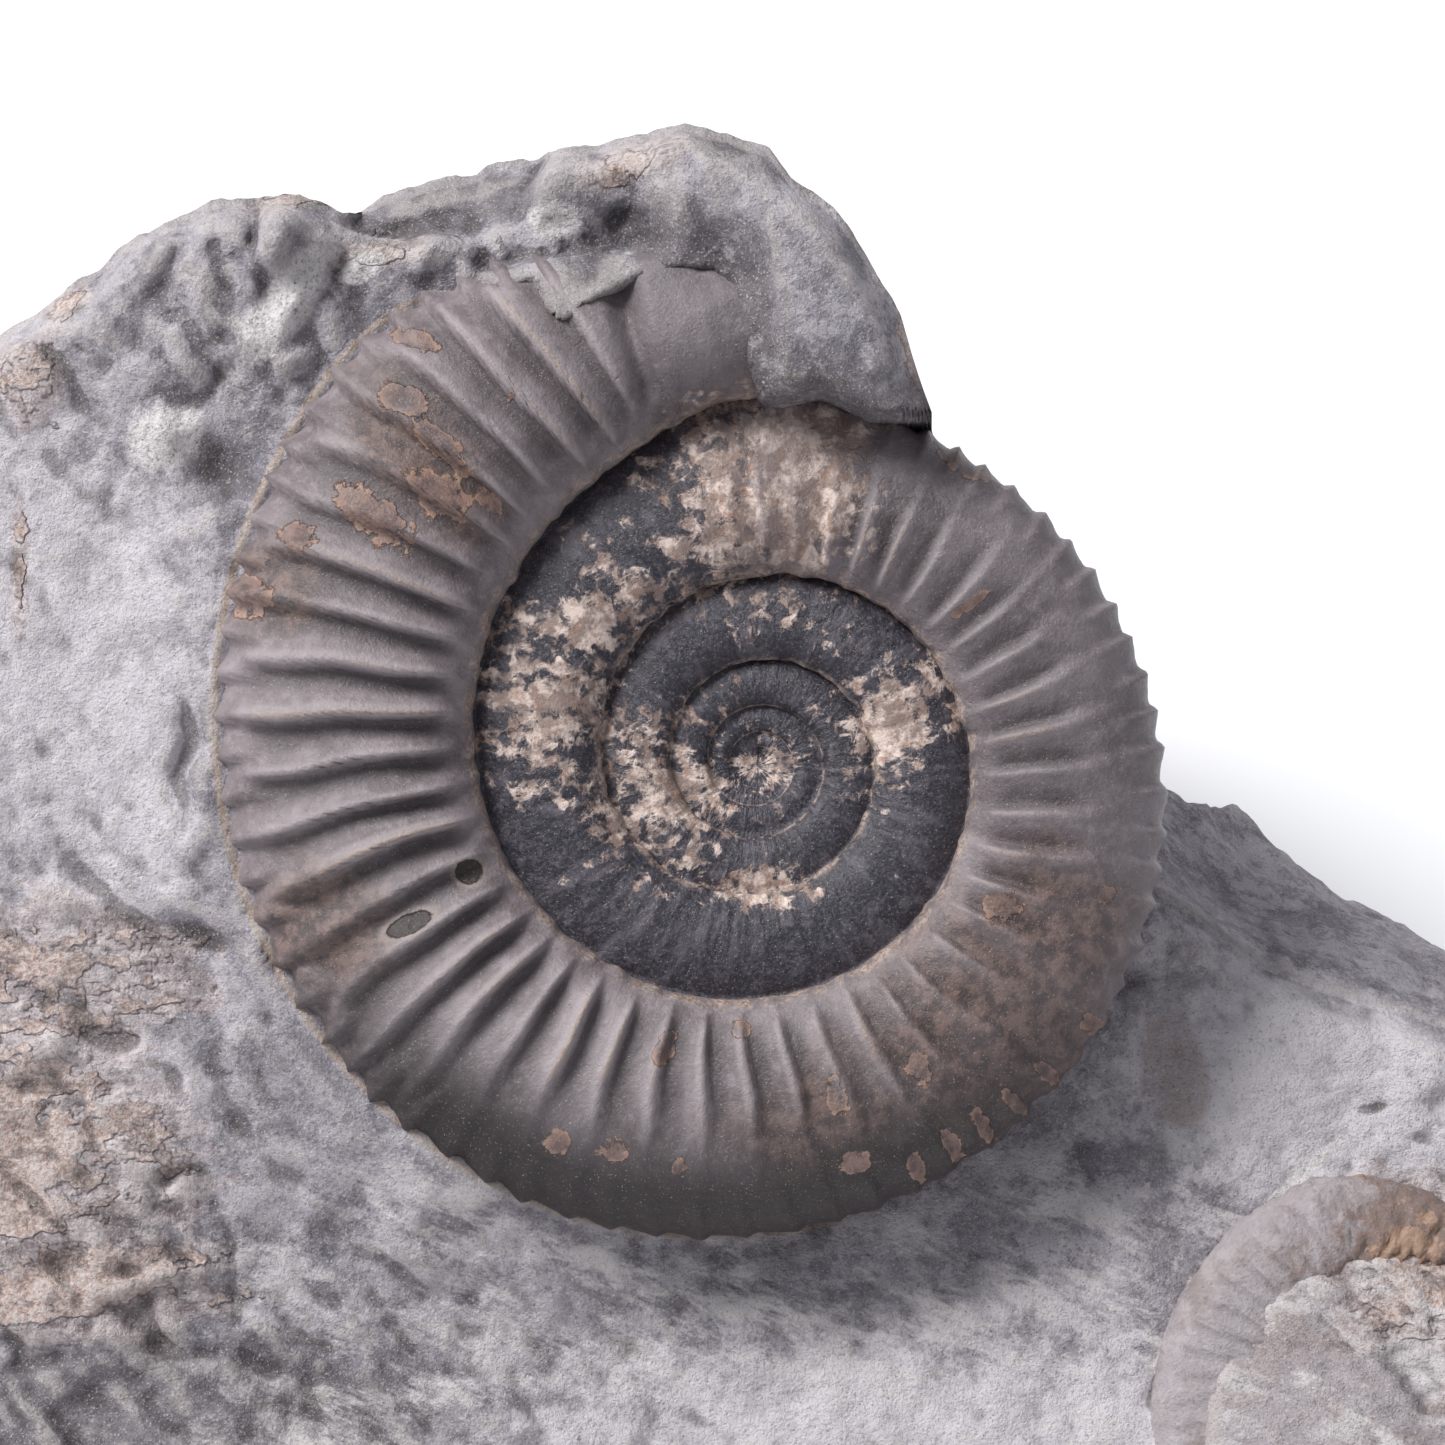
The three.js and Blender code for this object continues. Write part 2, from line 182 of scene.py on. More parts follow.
def rib_relief(turn, share, place):
    """Height of the ribs over the plain shell in millimetres, and how close a point is to a crest. The
    flank's ribs fade in at the seam; towards the venter three finer ribs take the place of two."""
    number = rib_number(turn + RIB_LEAN * (share - 0.6)) + RIB_WAVE * ripple(place, RIB_WAVE_REACH, 7)
    strength = np.random.default_rng(3).uniform(0.75, 1.15, 512)[np.floor(number + 0.3).astype(int) % 512]
    height = np.interp(turn, RIB_HEIGHT_KNOTS, RIB_HEIGHTS) * VENTER_RADIUS * GROWTH ** turn
    fade = 1 - np.interp(turn, RIB_FADE_KNOTS, RIB_FADES) * smooth_step(0.35, 0.72, share)
    flank = smooth_step(0.0, 0.2, share) * (1 - smooth_step(0.76, 0.94, share)) * fade
    venter = smooth_step(0.76, 0.92, share) * 0.6
    crest = rib_profile(number) * strength
    return height * (flank * (crest - 0.35) + venter * (rib_profile(1.5 * number) - 0.35)), \
        0.5 + flank * (crest - 0.5) * smooth_step(0.004, 0.014, height / (VENTER_RADIUS * GROWTH ** turn))


def shell_relief(turn, share, across, up):
    """All of the large shell's surface detail in millimetres, and its closeness to a rib's crest."""
    place = np.stack([across, up], -1)
    ribs, crest = rib_relief(turn, share, place)
    end_groove = -1.2 * np.exp(-((turn - 0.705) / 0.005) ** 2) * smooth_step(0.05, 0.2, share)
    end_bump = 0.5 * np.exp(-((turn - 0.722) / 0.012) ** 2 - ((share - 0.86) / 0.1) ** 2)
    worn = 0.09 * layered(place, 2.4, 11) * smooth_step(-1.9, -0.2, turn)
    rugged = layered(place, 1.8, 12) * smooth_step(0.74, 0.9, share) \
        * (bell(turn, share, (0.41, 0.9, 0.35, 0.04, 9)) + bell(turn, share, (0.14, 0.9, 0.22, 0.06, 9)))
    crust = CRUST_HEIGHT * np.exp(-((share - 0.015) / 0.025) ** 2) * (0.7 + ripple(place, 1.1, 13)) \
        * smooth_step(-2.5, -0.5, turn)
    crust = crust + bell(turn, share, (-0.235, 0.94, 0.5, 0.022, 0.035)) * (0.7 + ripple(place, 1.3, 14))
    return ribs + end_groove + end_bump + worn + rugged + crust, crest


def coil(place, turns, columns, rows, venter_rows, relief, coarse):
    """A closed coiled shell. A ribbon runs along the spiral from each turn's seam to the seam of the next
    turn, on the front and on the back; the last turn also has its venter, and a flat mouth. A point
    stands where its turn and sweep put it, moved by the relief along the section's normal. coarse(turn)
    says how many rows are taken as one. Returns points, triangles, and turn and share at their corners."""
    last = round(columns * turns)
    turn = LAST_TURN_END - (last - np.arange(last + 1)) / columns
    first_full = last - columns

    def surface(column_turn, sweep, side):
        column_turn, sweep = np.broadcast_arrays(column_turn, sweep)
        radius, lift, share = section(column_turn, sweep)
        nudge = 1e-4
        ahead, behind = section(column_turn, sweep + nudge), section(column_turn, sweep - nudge)
        along_radius, along_lift = ahead[0] - behind[0], ahead[1] - behind[1]
        length = np.maximum(np.hypot(along_radius, along_lift), 1e-12)
        angle = 2 * math.pi * column_turn
        height, crest = relief(column_turn, share, radius * np.cos(angle), -radius * np.sin(angle))
        apex = sweep > math.pi - 1e-3
        radius = radius + height * np.where(apex, 1, -along_lift / length)
        lift = np.where(apex, 0, lift + height * along_radius / length)
        return place(radius * np.cos(angle), -radius * np.sin(angle), side * lift), share, crest

    covered = covered_sweep(turn)[:, None]
    sweeps = covered * np.arange(rows + 1) / rows
    points, crests = [], []
    counted = 0

    def keep(made, crest):
        nonlocal counted
        ids = counted + np.arange(made[..., 0].size).reshape(made.shape[:-1])
        points.append(made.reshape(-1, 3))
        crests.append(np.broadcast_to(crest, made.shape[:-1]).ravel())
        counted += ids.size
        return ids

    triangles, corner_turns, corner_shares = [], [], []

    def add_strip(ids, turns_of, shares_of, flipped=False):
        quad = [ids[:-1, :-1], ids[1:, :-1], ids[1:, 1:], ids[:-1, 1:]]
        facts = [[values[:-1, :-1], values[1:, :-1], values[1:, 1:], values[:-1, 1:]]
                 for values in np.broadcast_arrays(turns_of, shares_of, ids)[:2]]
        for corners in ((0, 1, 2), (0, 2, 3)):
            order = corners[::-1] if flipped else corners
            made = np.stack([quad[i] for i in order], -1).reshape(-1, 3)
            whole = (made[:, 0] != made[:, 1]) & (made[:, 1] != made[:, 2]) & (made[:, 0] != made[:, 2])
            triangles.append(made[whole])
            for store, fact in zip((corner_turns, corner_shares), facts):
                store.append(np.stack([fact[i] for i in order], -1).reshape(-1, 3)[whole])

    sides = {}
    for side in (1, -1):
        made, share, crest = surface(turn[:, None], sweeps, side)
        ids = keep(made, crest)
        opposite = columns // 2
        centre = keep(((made[0, rows] + made[opposite, rows]) / 2)[None], 0.0)[0]
        ids[columns:, 0] = ids[:-columns, rows]
        ids[:columns, :rows] = centre
        step = coarse(turn, side)
        snapped = np.arange(rows + 1) - np.arange(rows + 1) % step[:, None]
        ribbon = np.take_along_axis(ids, snapped, 1)
        add_strip(ribbon, turn[:, None], np.take_along_axis(share, snapped, 1), flipped=side < 0)
        sides[side] = ids

    fall = np.arange(1, venter_rows + 1) / venter_rows
    down = covered[first_full:] + (math.pi - covered[first_full:]) * fall
    around = np.concatenate([down, down[:, -2::-1]], 1)
    face = np.concatenate([np.ones(venter_rows), -np.ones(venter_rows - 1)])
    made, share, crest = surface(turn[first_full:, None], around, face)
    middle_ids = keep(made, crest)
    ring = np.concatenate([sides[1][first_full:, rows:], middle_ids, sides[-1][first_full:, rows:]], 1)
    ring_share = np.concatenate([share[:, :1], share, share[:, :1]], 1)
    add_strip(ring, turn[first_full:, None], ring_share)

    front, back = sides[1][last], sides[-1][last][::-1]
    rim = np.concatenate([front[:-1], ring[-1], back[1:]])
    loop = np.concatenate([rim, ring[0][1:-1][::-1]])
    everything = np.concatenate(points)
    quarter = len(rim) // 4
    hub = keep(((everything[rim[quarter]] + everything[rim[-1 - quarter]]) / 2)[None], 0.0)[0]
    triangles.append(np.stack([np.full(len(loop), hub), np.roll(loop, -1), loop], -1))
    corner_turns.append(np.full((len(loop), 3), LAST_TURN_END))
    corner_shares.append(np.full((len(loop), 3), 0.5))

    triangles = np.concatenate(triangles)
    used, compact = np.unique(triangles, return_inverse=True)
    return {
        "points": np.concatenate(points)[used],
        "triangles": compact.reshape(-1, 3),
        "point_values": {"crest": np.concatenate(crests)[used]},
        "corner_values": {"turn": np.concatenate(corner_turns), "share": np.concatenate(corner_shares)},
    }


def make_piece(name, shape, material):
    """A smooth-shaded mesh object at the origin from points, triangles and named values."""
    points, triangles = shape["points"], shape["triangles"]
    mesh = bpy.data.meshes.new(name)
    mesh.vertices.add(len(points))
    mesh.vertices.foreach_set("co", points.astype(np.float32).ravel())
    mesh.loops.add(triangles.size)
    mesh.loops.foreach_set("vertex_index", triangles.astype(np.int32).ravel())
    mesh.polygons.add(len(triangles))
    mesh.polygons.foreach_set("loop_start", np.arange(0, triangles.size, 3, dtype=np.int32))
    mesh.polygons.foreach_set("use_smooth", np.ones(len(triangles), bool))
    mesh.update(calc_edges=True)
    for domain, values in (("POINT", "point_values"), ("CORNER", "corner_values")):
        for key, numbers in shape.get(values, {}).items():
            attribute = mesh.attributes.new(key, "FLOAT", domain)
            attribute.data.foreach_set("value", np.asarray(numbers, np.float32).ravel())
    mesh.materials.append(material)
    piece = bpy.data.objects.new(name, mesh)
    bpy.context.scene.collection.objects.link(piece)
    return piece


def blotches(across, up, spots):
    """The nearest of several oval spots, from 1 at a spot's middle through 0 at its rim to -1 outside. Each
    spot is its place across and up, its half length, half width and the angle it is turned by."""
    nearest = np.full(np.shape(across), -1.0)
    for spot_across, spot_up, half_long, half_wide, turned in spots:
        angle = math.radians(turned)
        x, y = across - spot_across, up - spot_up
        along = (x * math.cos(angle) + y * math.sin(angle)) / half_long
        beside = (y * math.cos(angle) - x * math.sin(angle)) / half_wide
        nearest = np.maximum(nearest, 1 - np.hypot(along, beside))
    return nearest


def face_place(points):
    """Across, up and out on the fossil face, in millimetres, of points in metres."""
    offset = points / MM - COIL_CENTRE
    return offset @ ACROSS, offset @ UP, offset @ OUT


def linear(code):
    """A hex colour as four linear numbers: each channel's sRGB curve is undone, and alpha is 1."""
    channels = np.array([int(code[i:i + 2], 16) for i in (1, 3, 5)]) / 255
    return (*np.where(channels <= 0.04045, channels / 12.92, ((channels + 0.055) / 1.055) ** 2.4), 1.0)


def add_node(tree, kind, inputs, **settings):
    """Adds a node with its settings. Each input is set, or joined if its value is a socket."""
    node = tree.nodes.new("ShaderNode" + kind)
    for name, value in settings.items():
        setattr(node, name, value)
    for name, value in inputs.items():
        if isinstance(value, bpy.types.NodeSocket):
            tree.links.new(value, node.inputs[name])
        else:
            node.inputs[name].default_value = value
    return node


def new_material(name, attributes=()):
    """A material, its node tree and Principled shader, and the values that its patterns read: the place in
    millimetres, and the mesh's attributes."""
    material = bpy.data.materials.new(name)
    material.use_nodes = True
    tree = material.node_tree
    place = add_node(tree, "TexCoord", {}).outputs["Object"]
    value = {"place": add_node(tree, "VectorMath", {0: place, "Scale": 1 / MM}, operation="SCALE").outputs[0]}
    for attribute in attributes:
        value[attribute] = add_node(tree, "Attribute", {}, attribute_name=attribute).outputs["Fac"]
    return material, tree, tree.nodes["Principled BSDF"], value


def paint(tree, shader, value, noises, masks, coats, relief_depth):
    """Colour and grain from tables. A noise gives its vector, the width of its largest patches in
    millimetres, its detail, roughness and distortion. A mask is made from those before it: a dict is a sum
    of parts times their weights, a list is a product, and a tuple is a band, an S-curve from 0 at one value
    of its source to its top (or 1) at another. A coat is a first tone and the tones laid over it, each as
    far as its mask says; a tone is a hex colour or an earlier coat. The last coat is the colour, and the
    mask "relief" is the height of the bump, relief_depth millimetres for each 1."""
    for name, (vector, size, *settings) in noises.items():
        inputs = dict(zip(("Detail", "Roughness", "Distortion"), settings))
        inputs.update(Vector=value[vector], Scale=1 / size)
        value[name] = add_node(tree, "TexNoise", inputs).outputs["Fac"]

    def made(mask):
        if isinstance(mask, str):
            return value[mask]
        if isinstance(mask, tuple):
            source, low, high, top = (*mask, 1.0)[:4]
            return add_node(tree, "MapRange", {0: made(source), 1: low, 2: high, 3: 0.0, 4: top},
                            interpolation_type="SMOOTHSTEP").outputs[0]
        if isinstance(mask, dict):
            total = 0.0
            for part, weight in mask.items():
                total = add_node(tree, "Math", {0: value[part], 1: weight, 2: total},
                                 operation="MULTIPLY_ADD").outputs[0]
            return total
        product = made(mask[0])
        for factor in mask[1:]:
            product = add_node(tree, "Math", {0: product, 1: made(factor)}, operation="MULTIPLY").outputs[0]
        return product

    for name, mask in masks.items():
        value[name] = made(mask)
    for name, (first, *layers) in coats.items():
        colour = value[first] if first in value else linear(first)
        for mask, tone in layers:
            tone = value[tone] if tone in value else linear(tone)
            colour = add_node(tree, "Mix", {0: made(mask), 6: colour, 7: tone}, data_type="RGBA").outputs[2]
        value[name] = colour
    tree.links.new(colour, shader.inputs["Base Color"])
    bump = add_node(tree, "Bump", {"Strength": 0.9, "Distance": relief_depth * MM, "Height": value["relief"]})
    tree.links.new(bump.outputs[0], shader.inputs["Normal"])


RUST_SPOTS = [
    (-18.9, 23.6, 1.5, 0.7, -20), (-19.6, 20.4, 1.6, 0.9, -10), (-17.6, 17.8, 2.8, 0.8, -48),
    (-14.9, 14.6, 1.0, 0.6, -50), (-17.6, 15.0, 2.2, 1.4, -35), (-21.3, 13.9, 3.0, 1.3, -35),
    (-25.4, 12.7, 1.3, 1.0, 10), (-28.6, 9.6, 2.0, 1.2, -30), (11.9, 9.0, 1.4, 0.35, 35),
    (-11.1, -21, 0.9, 0.8, 0), (-8.0, -21.4, 0.9, 1.1, 70), (-5.1, -15.6, 0.6, 1.2, -20),
    (-4.3, -22.4, 0.6, 0.5, 60), (-0.95, -14.7, 0.7, 0.5, 0), (4.4, -18.2, 0.7, 1.5, 12),
    (9, -16.8, 0.9, 1.3, 20), (5.5, -22.1, 1.0, 0.8, 0), (19.5, -7.3, 0.8, 0.6, 40),
    (11.6, 17.2, 2.4, 1.0, -30), (-13.2, 20.2, 0.7, 0.4, 0), (13.6, -7.8, 1.2, 1.0, 0),
    (10.9, -21.2, 1.3, 0.5, -62), (12.7, -20.2, 1.4, 0.5, -57), (14.4, -18.9, 1.4, 0.5, -52),
    (18.9, -14.6, 1.2, 0.6, -38), (8.9, -22.4, 1.2, 0.5, -68), (16.2, -17.2, 1.3, 0.5, -46),
]
BROWN_PLACES = [(13, -16, 9, 10, 30), (-18.5, 17, 7, 3.5, -50), (17, -9, 5, 6, 30), (-27, 10, 4, 3.5, 0),
                (4, -20, 7, 4, 10), (-24, -9, 5, 5, 0)]
TAN_PLACES = [(0.6, 15.6, 6.0, 6.0, 0), (-11.3, 3.2, 4.4, 4.4, 0), (-5.6, -1.6, 3.8, 4.4, 20),
              (7.5, 2.5, 3.4, 2.4, 50), (3.5, 19, 3.5, 1.8, 0), (-9, 8, 4, 2, 40), (0, -6.5, 3, 1.2, 0),
              (0.4, 17.6, 4.4, 3.6, 0), (0.6, 0.2, 1.5, 1.3, 0)]
PITS = [(-16, -5.9, 0.8, 0.75, 0), (-19.3, -8.8, 1.45, 0.6, 25)]


def stone_cast_with_black_skin():
    """Hard limy mud cast, worn satin by handling, under remains of a blue-black shell skin: dark grey-brown
    with tan rib crests and rusty scales outside, black mottled with bare tan cast on the inner turns."""
    material, tree, shader, value = new_material(
        "limy_mud_cast_worn_satin", ("turn", "share", "crest", "rust", "brown", "tan", "pit"))
    along_shell = add_node(tree, "CombineXYZ", {0: value["turn"], 1: value["share"]}).outputs[0]
    value["along_rib"] = add_node(tree, "VectorMath", {0: along_shell, 1: (52.0, 1.6, 0.0)},
                                  operation="MULTIPLY").outputs[0]
    noises = {
        "broad": ("place", 4.5, 4.0, 0.6), "middle": ("place", 0.9, 6.0, 0.65),
        "fine": ("place", 0.2, 4.0, 0.7), "salt": ("place", 0.11, 1.0, 0.6),
        "mottle": ("place", 0.95, 5.0, 0.6, 0.4), "vein": ("place", 1.5, 3.0, 0.6, 0.6),
        "wide": ("place", 2.8, 2.0, 0.6), "patch": ("place", 1.3, 6.0, 0.7),
        "spot": ("place", 0.7, 3.0, 0.6), "island": ("place", 2.2, 2.0, 0.6),
        "rib_ghost": ("along_rib", 1.0, 3.0, 0.6, 0.3),
    }
    masks = {
        "veins": [("vein", 0.455, 0.5), ("vein", 0.545, 0.5, 0.08)],
        "bare": ({"mottle": 1, "tan": 0.22, "veins": 0.8, "wide": 0.5, "rib_ghost": 0.5}, 0.99, 1.14),
        "ragged": {"rust": 1, "middle": 1.8, "island": 0.8},
        "scale": ("ragged", 1.38, 1.5),
        "hole": ({"pit": 1, "fine": 0.4}, 0.2, 0.35),
        "inner_ghost": ["rib_ghost", ("turn", -0.15, -0.25, 1.2)],
        "relief": {"scale": 0.8, "fine": 0.5, "middle": 0.9, "hole": -1.6, "bare": -0.35, "inner_ghost": 1},
    }
    coats = {
        "browned": ["#4a3d3b", (("middle", 0.4, 0.6), "#7d665c")],
        "outer": [
            "#746a6c", (("broad", 0.35, 0.65), "#91878a"), (("middle", 0.45, 0.7, 0.6), "#a2989c"),
            # painted shade in the rib valleys (low crest) and a painted highlight on the slope behind each
            # crest; the tan line on the crest itself is worn cast
            (("crest", 0.5, 0.05, 0.75), "#453d3f"), (("crest", 0.52, 0.8, 0.5), "#b3a9ac"),
            (({"crest": 1, "middle": 0.3}, 1.0, 1.12, 0.6), "#ab988c"),
            (({"brown": 1, "broad": 1.6}, 0.7, 1.4, 0.75), "browned"),
            # the dark outer half of the flank where the shell is lowest: partly a dark stain, partly painted
            # shade of the underside that turns away from the lamp
            ([("share", 0.42, 0.85, 0.96), ("turn", 0.07, 0.2), ("turn", 0.46, 0.36)], "#2a2425"),
            (("turn", 0.69, 0.71, 0.4), "#3c353a"), (("turn", 0.1, 0.0, 0.3), "#453d42")],
        "skin": ["#2b2830", (("fine", 0.35, 0.7), "#4a4751"), (("rib_ghost", 0.5, 0.7, 0.6), "#67626c"),
                 (("middle", 0.52, 0.66, 0.5), "#6c666f")],
        "bared": ["#96827a", (("patch", 0.44, 0.6), "#e4d0c5"), (("spot", 0.55, 0.65, 0.6), "#a37d69"),
                  (("rib_ghost", 0.5, 0.3, 0.6), "#7d6a63")],
        "rusty": ["#6d5a56", (("middle", 0.4, 0.6), "#8d746b")],
        "lime": ["#857268", (("fine", 0.4, 0.6), "#b8a59b")],
        "inner": ["skin", ("bare", "bared")],
        "cast": [
            "inner", (({"turn": 1, "mottle": 0.15}, -0.185, -0.165), "outer"),
            ([({"tan": 1, "mottle": 1.6, "rib_ghost": 0.8}, 1.2, 1.5, 0.9), ("turn", -0.3, -0.2)], "bared"),
            (["scale", ("broad", 0.3, 0.55)], "rusty"),
            (["scale", ("ragged", 1.75, 1.5), ("middle", 0.4, 0.6)], "#ab8a78"),
            ([("share", 0.045, 0.015), ("middle", 0.4, 0.58)], "lime"),
            ([("turn", -0.3, -0.27), ("turn", -0.18, -0.2), ("share", 0.88, 0.92),
              ("middle", 0.4, 0.58)], "lime"),
            (("pit", -0.5, -0.1, 0.5), "#a3958d"), ("hole", "#3c3431"),
            (("fine", 0.58, 0.75, 0.3), "#b5abab"), (("fine", 0.42, 0.28, 0.3), "#2f2a2c"),
            (("salt", 0.66, 0.75, 0.45), "#cfc3b0")],
    }
    paint(tree, shader, value, noises, masks, coats, 0.16)
    dulled = add_node(tree, "MapRange", {0: value["fine"], 1: 0.3, 2: 0.7, 3: 0.3, 4: 0.5}).outputs[0]
    tree.links.new(dulled, shader.inputs["Roughness"])
    return material


AMMONITE_COLUMNS = 680  # along one turn: every 0.3 mm at the outer edge


def ammonite_rows_as_one(turn, side):
    """The last two turns' front is finest; inner turns and the hidden back are coarser."""
    front = np.select([turn > -1.3, turn > -2.3, turn > -3.3], [1, 2, 4], 8)
    return front if side > 0 else np.where(turn > -0.3, 3, 8)


ammonite_shape = coil(on_face, 6, AMMONITE_COLUMNS, 24, 15, shell_relief, ammonite_rows_as_one)
across, up, out = face_place(ammonite_shape["points"])
for key, spots in (("rust", RUST_SPOTS), ("brown", BROWN_PLACES), ("tan", TAN_PLACES), ("pit", PITS)):
    ammonite_shape["point_values"][key] = blotches(across, up, spots)
ammonite = make_piece("ammonite_cast", ammonite_shape, stone_cast_with_black_skin())
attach(ammonite, "root")
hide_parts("ammonite")


# ------------------------------------------------------------------------------------ small ammonite
# A second, smaller shell of the same kind low on the right, sunk in the stone but for a worn part of its
# last turn. It is a cast too, drier and browner, and its ribs are nearly rubbed off.

SMALL_SCALE, SMALL_PLACE = 0.46, (36, -38, -1)
SMALL_LEAN, SMALL_ROLL = math.radians(-12), math.radians(-25)
CRUMBLED_PART = (-8, 20, 1.2, 9, 7)  # before scaling: across, up, height, reach across, reach up
CRUMBLED_PLACES = [(36.5, -28, 6, 4.2, 60)]


def on_small_shell(across, up, out):
    """Points of the small shell: scaled, rolled in its own plane, leaned about its across axis, moved."""
    x, y, z = (SMALL_SCALE * part for part in (across, up, out))
    cosine, sine = math.cos(SMALL_ROLL), math.sin(SMALL_ROLL)
    x, y = x * cosine - y * sine, x * sine + y * cosine
    cosine, sine = math.cos(SMALL_LEAN), math.sin(SMALL_LEAN)
    y, z = y * cosine - z * sine, y * sine + z * cosine
    return on_face(SMALL_PLACE[0] + x, SMALL_PLACE[1] + y, SMALL_PLACE[2] + z)


def small_relief(turn, share, across, up):
    """Weaker ribs than the large shell's, and more wear."""
    place = np.stack([across, up], -1)
    ribs, crest = rib_relief(turn, share, place)
    crumbled = bell(across, up, CRUMBLED_PART) * (0.4 - 2 * np.abs(layered(place, 4.0, 82)))
    return 0.3 * ribs + 0.35 * layered(place, 6.0, 81) + crumbled, crest


def dusty_cast():
    """The same hard mud cast, weathered and never handled: dull grey-brown with dry pale dust on it, and
    brown crumbly patches where its surface broke away."""
    material, tree, shader, value = new_material("limy_mud_cast_weathered_dull", ("crest", "crumbled"))
    sizes = {"broad": 5.0, "middle": 1.4, "fine": 0.25}
    noises = {name: ("place", size, 8.0, 0.7) for name, size in sizes.items()}
    masks = {"broken": {"crumbled": 1, "middle": 2.0}, "relief": {"fine": 1, "middle": 1.6}}
    coats = {"cast": [
        "#bdb4b7", (("broad", 0.42, 0.6, 0.9), "#a39491"), (("middle", 0.45, 0.62, 0.6), "#d2c9cc"),
        # the dark tone where the crest value is low is painted shade in the worn rib valleys
        (("broad", 0.58, 0.66, 0.7), "#b89a84"), (("crest", 0.4, 0.05, 0.3), "#6c6263"),
        (("broken", 0.9, 1.3, 0.8), "#8d7468"), (("broken", 1.5, 1.7, 0.9), "#c9a68e"),
        (("fine", 0.55, 0.7, 0.6), "#ddd4d4"), (("fine", 0.45, 0.3, 0.5), "#6b6162")]}
    paint(tree, shader, value, noises, masks, coats, 0.3)
    shader.inputs["Roughness"].default_value = 0.8
    return material


small_shape = coil(on_small_shell, 3, 300, 16, 8, small_relief,
                   lambda turn, side: np.where(turn > -0.3, 1, 4))
small_shape["point_values"]["crumbled"] = blotches(*face_place(small_shape["points"])[:2], CRUMBLED_PLACES)
small_ammonite = make_piece("small_ammonite_cast", small_shape, dusty_cast())
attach(small_ammonite, "root")
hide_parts("second_ammonite")


# ------------------------------------------------------------------------------------ limestone
# The lump of fine grey limestone that the shells lie in, split open by a hammer: a broken face with a lobe
# that fills and laps over the large shell's mouth, scalloped breaks above and left, smoother stone at right.

SKYLINE = [  # across, up
    (-57, 2), (-55, 11), (-50, 18.5), (-42.4, 24.6), (-40.2, 26), (-35, 29.6), (-30.6, 31.7), (-25.6, 32),
    (-23.4, 31), (-20, 32.8), (-13, 34.3), (-11, 34.6), (-8.2, 35), (-3.8, 35.8), (0.5, 34.4), (1.8, 32.8),
    (5.2, 29.7), (8, 24.9), (9.2, 21), (12, 13), (17, 3), (23, -7), (29.8, -11.8), (34, -13.4), (38.5, -14.6),
    (46, -18), (50.5, -23.5), (52, -29),
]
FACE_FOOT = [
    (-57, -14), (-55, -30), (-48, -41), (-36, -47), (-15, -49), (10, -48.5), (30, -50.5), (42, -50.5),
    (49, -47), (52, -40),
]
BACK_FOOT = [  # across, distance back
    (-57, 6), (-54, 17), (-46, 27), (-33, 33), (-15, 35), (3, 34), (16, 28), (30, 17), (42, 8), (49, -4),
    (52, -18),
]
FACE_LEVEL = -0.3
FACE_RELIEF = [  # broad rises and hollows: across, up, height, reach across, reach up
    (-40, 4, 2, 11, 15), (-27, 28, 5.0, 9, 6), (-7, 32, 6.5, 7, 4.5), (28, -20, -7.6, 20, 13),
    (2, -34, -1.4, 16, 7), (40, -40, 5.5, 11, 10), (-26, -45, 4, 16, 6), (-42, -28, 2.2, 9, 8),
]
BACK_STEP_FROM, BACK_STEP_TO, BACK_STEP_UP, BACK_STEP_DROP = -22.5, -12.5, 29.3, 8
EDGE_ROUNDING, BACK_BULGE, UNDERCUT = 2.4, 7, 2
LOBE_MIDDLE, LOBE_HEIGHT, LOBE_CROWN = (2.5, 27), 8.9, 0.022

RIM_OF_STONE = [  # where the stone's broken edge lies on the shell: across, up
    (-27.6, 17.5), (-25.6, 21.1), (-24.2, 23.5), (-23, 25.1), (-20.6, 26.9), (-18.1, 26.4), (-17.8, 27.6),
    (-14.7, 26.4), (-12.7, 26.7), (-12.3, 26.2), (-11.9, 25.1), (-11, 24.3), (-10.1, 24.4),
    (-9.6, 25.2), (-8.6, 25.7), (-7.4, 26.4), (-6.4, 26.9), (-4.6, 27.3), (-2.6, 27.3),
    (-1.7, 26.4), (-1, 24.6), (-0.9, 22.4),
    (-0.4, 21.2), (0.3, 20.2), (1.3, 20), (2.6, 20.3), (3.6, 20.5), (5, 19.9), (6.1, 19.2),
    (8.7, 19.2), (12, 19),
]
ABOVE_THE_RIM = [(14, 40), (-40, 40), (-34, 17.5)]

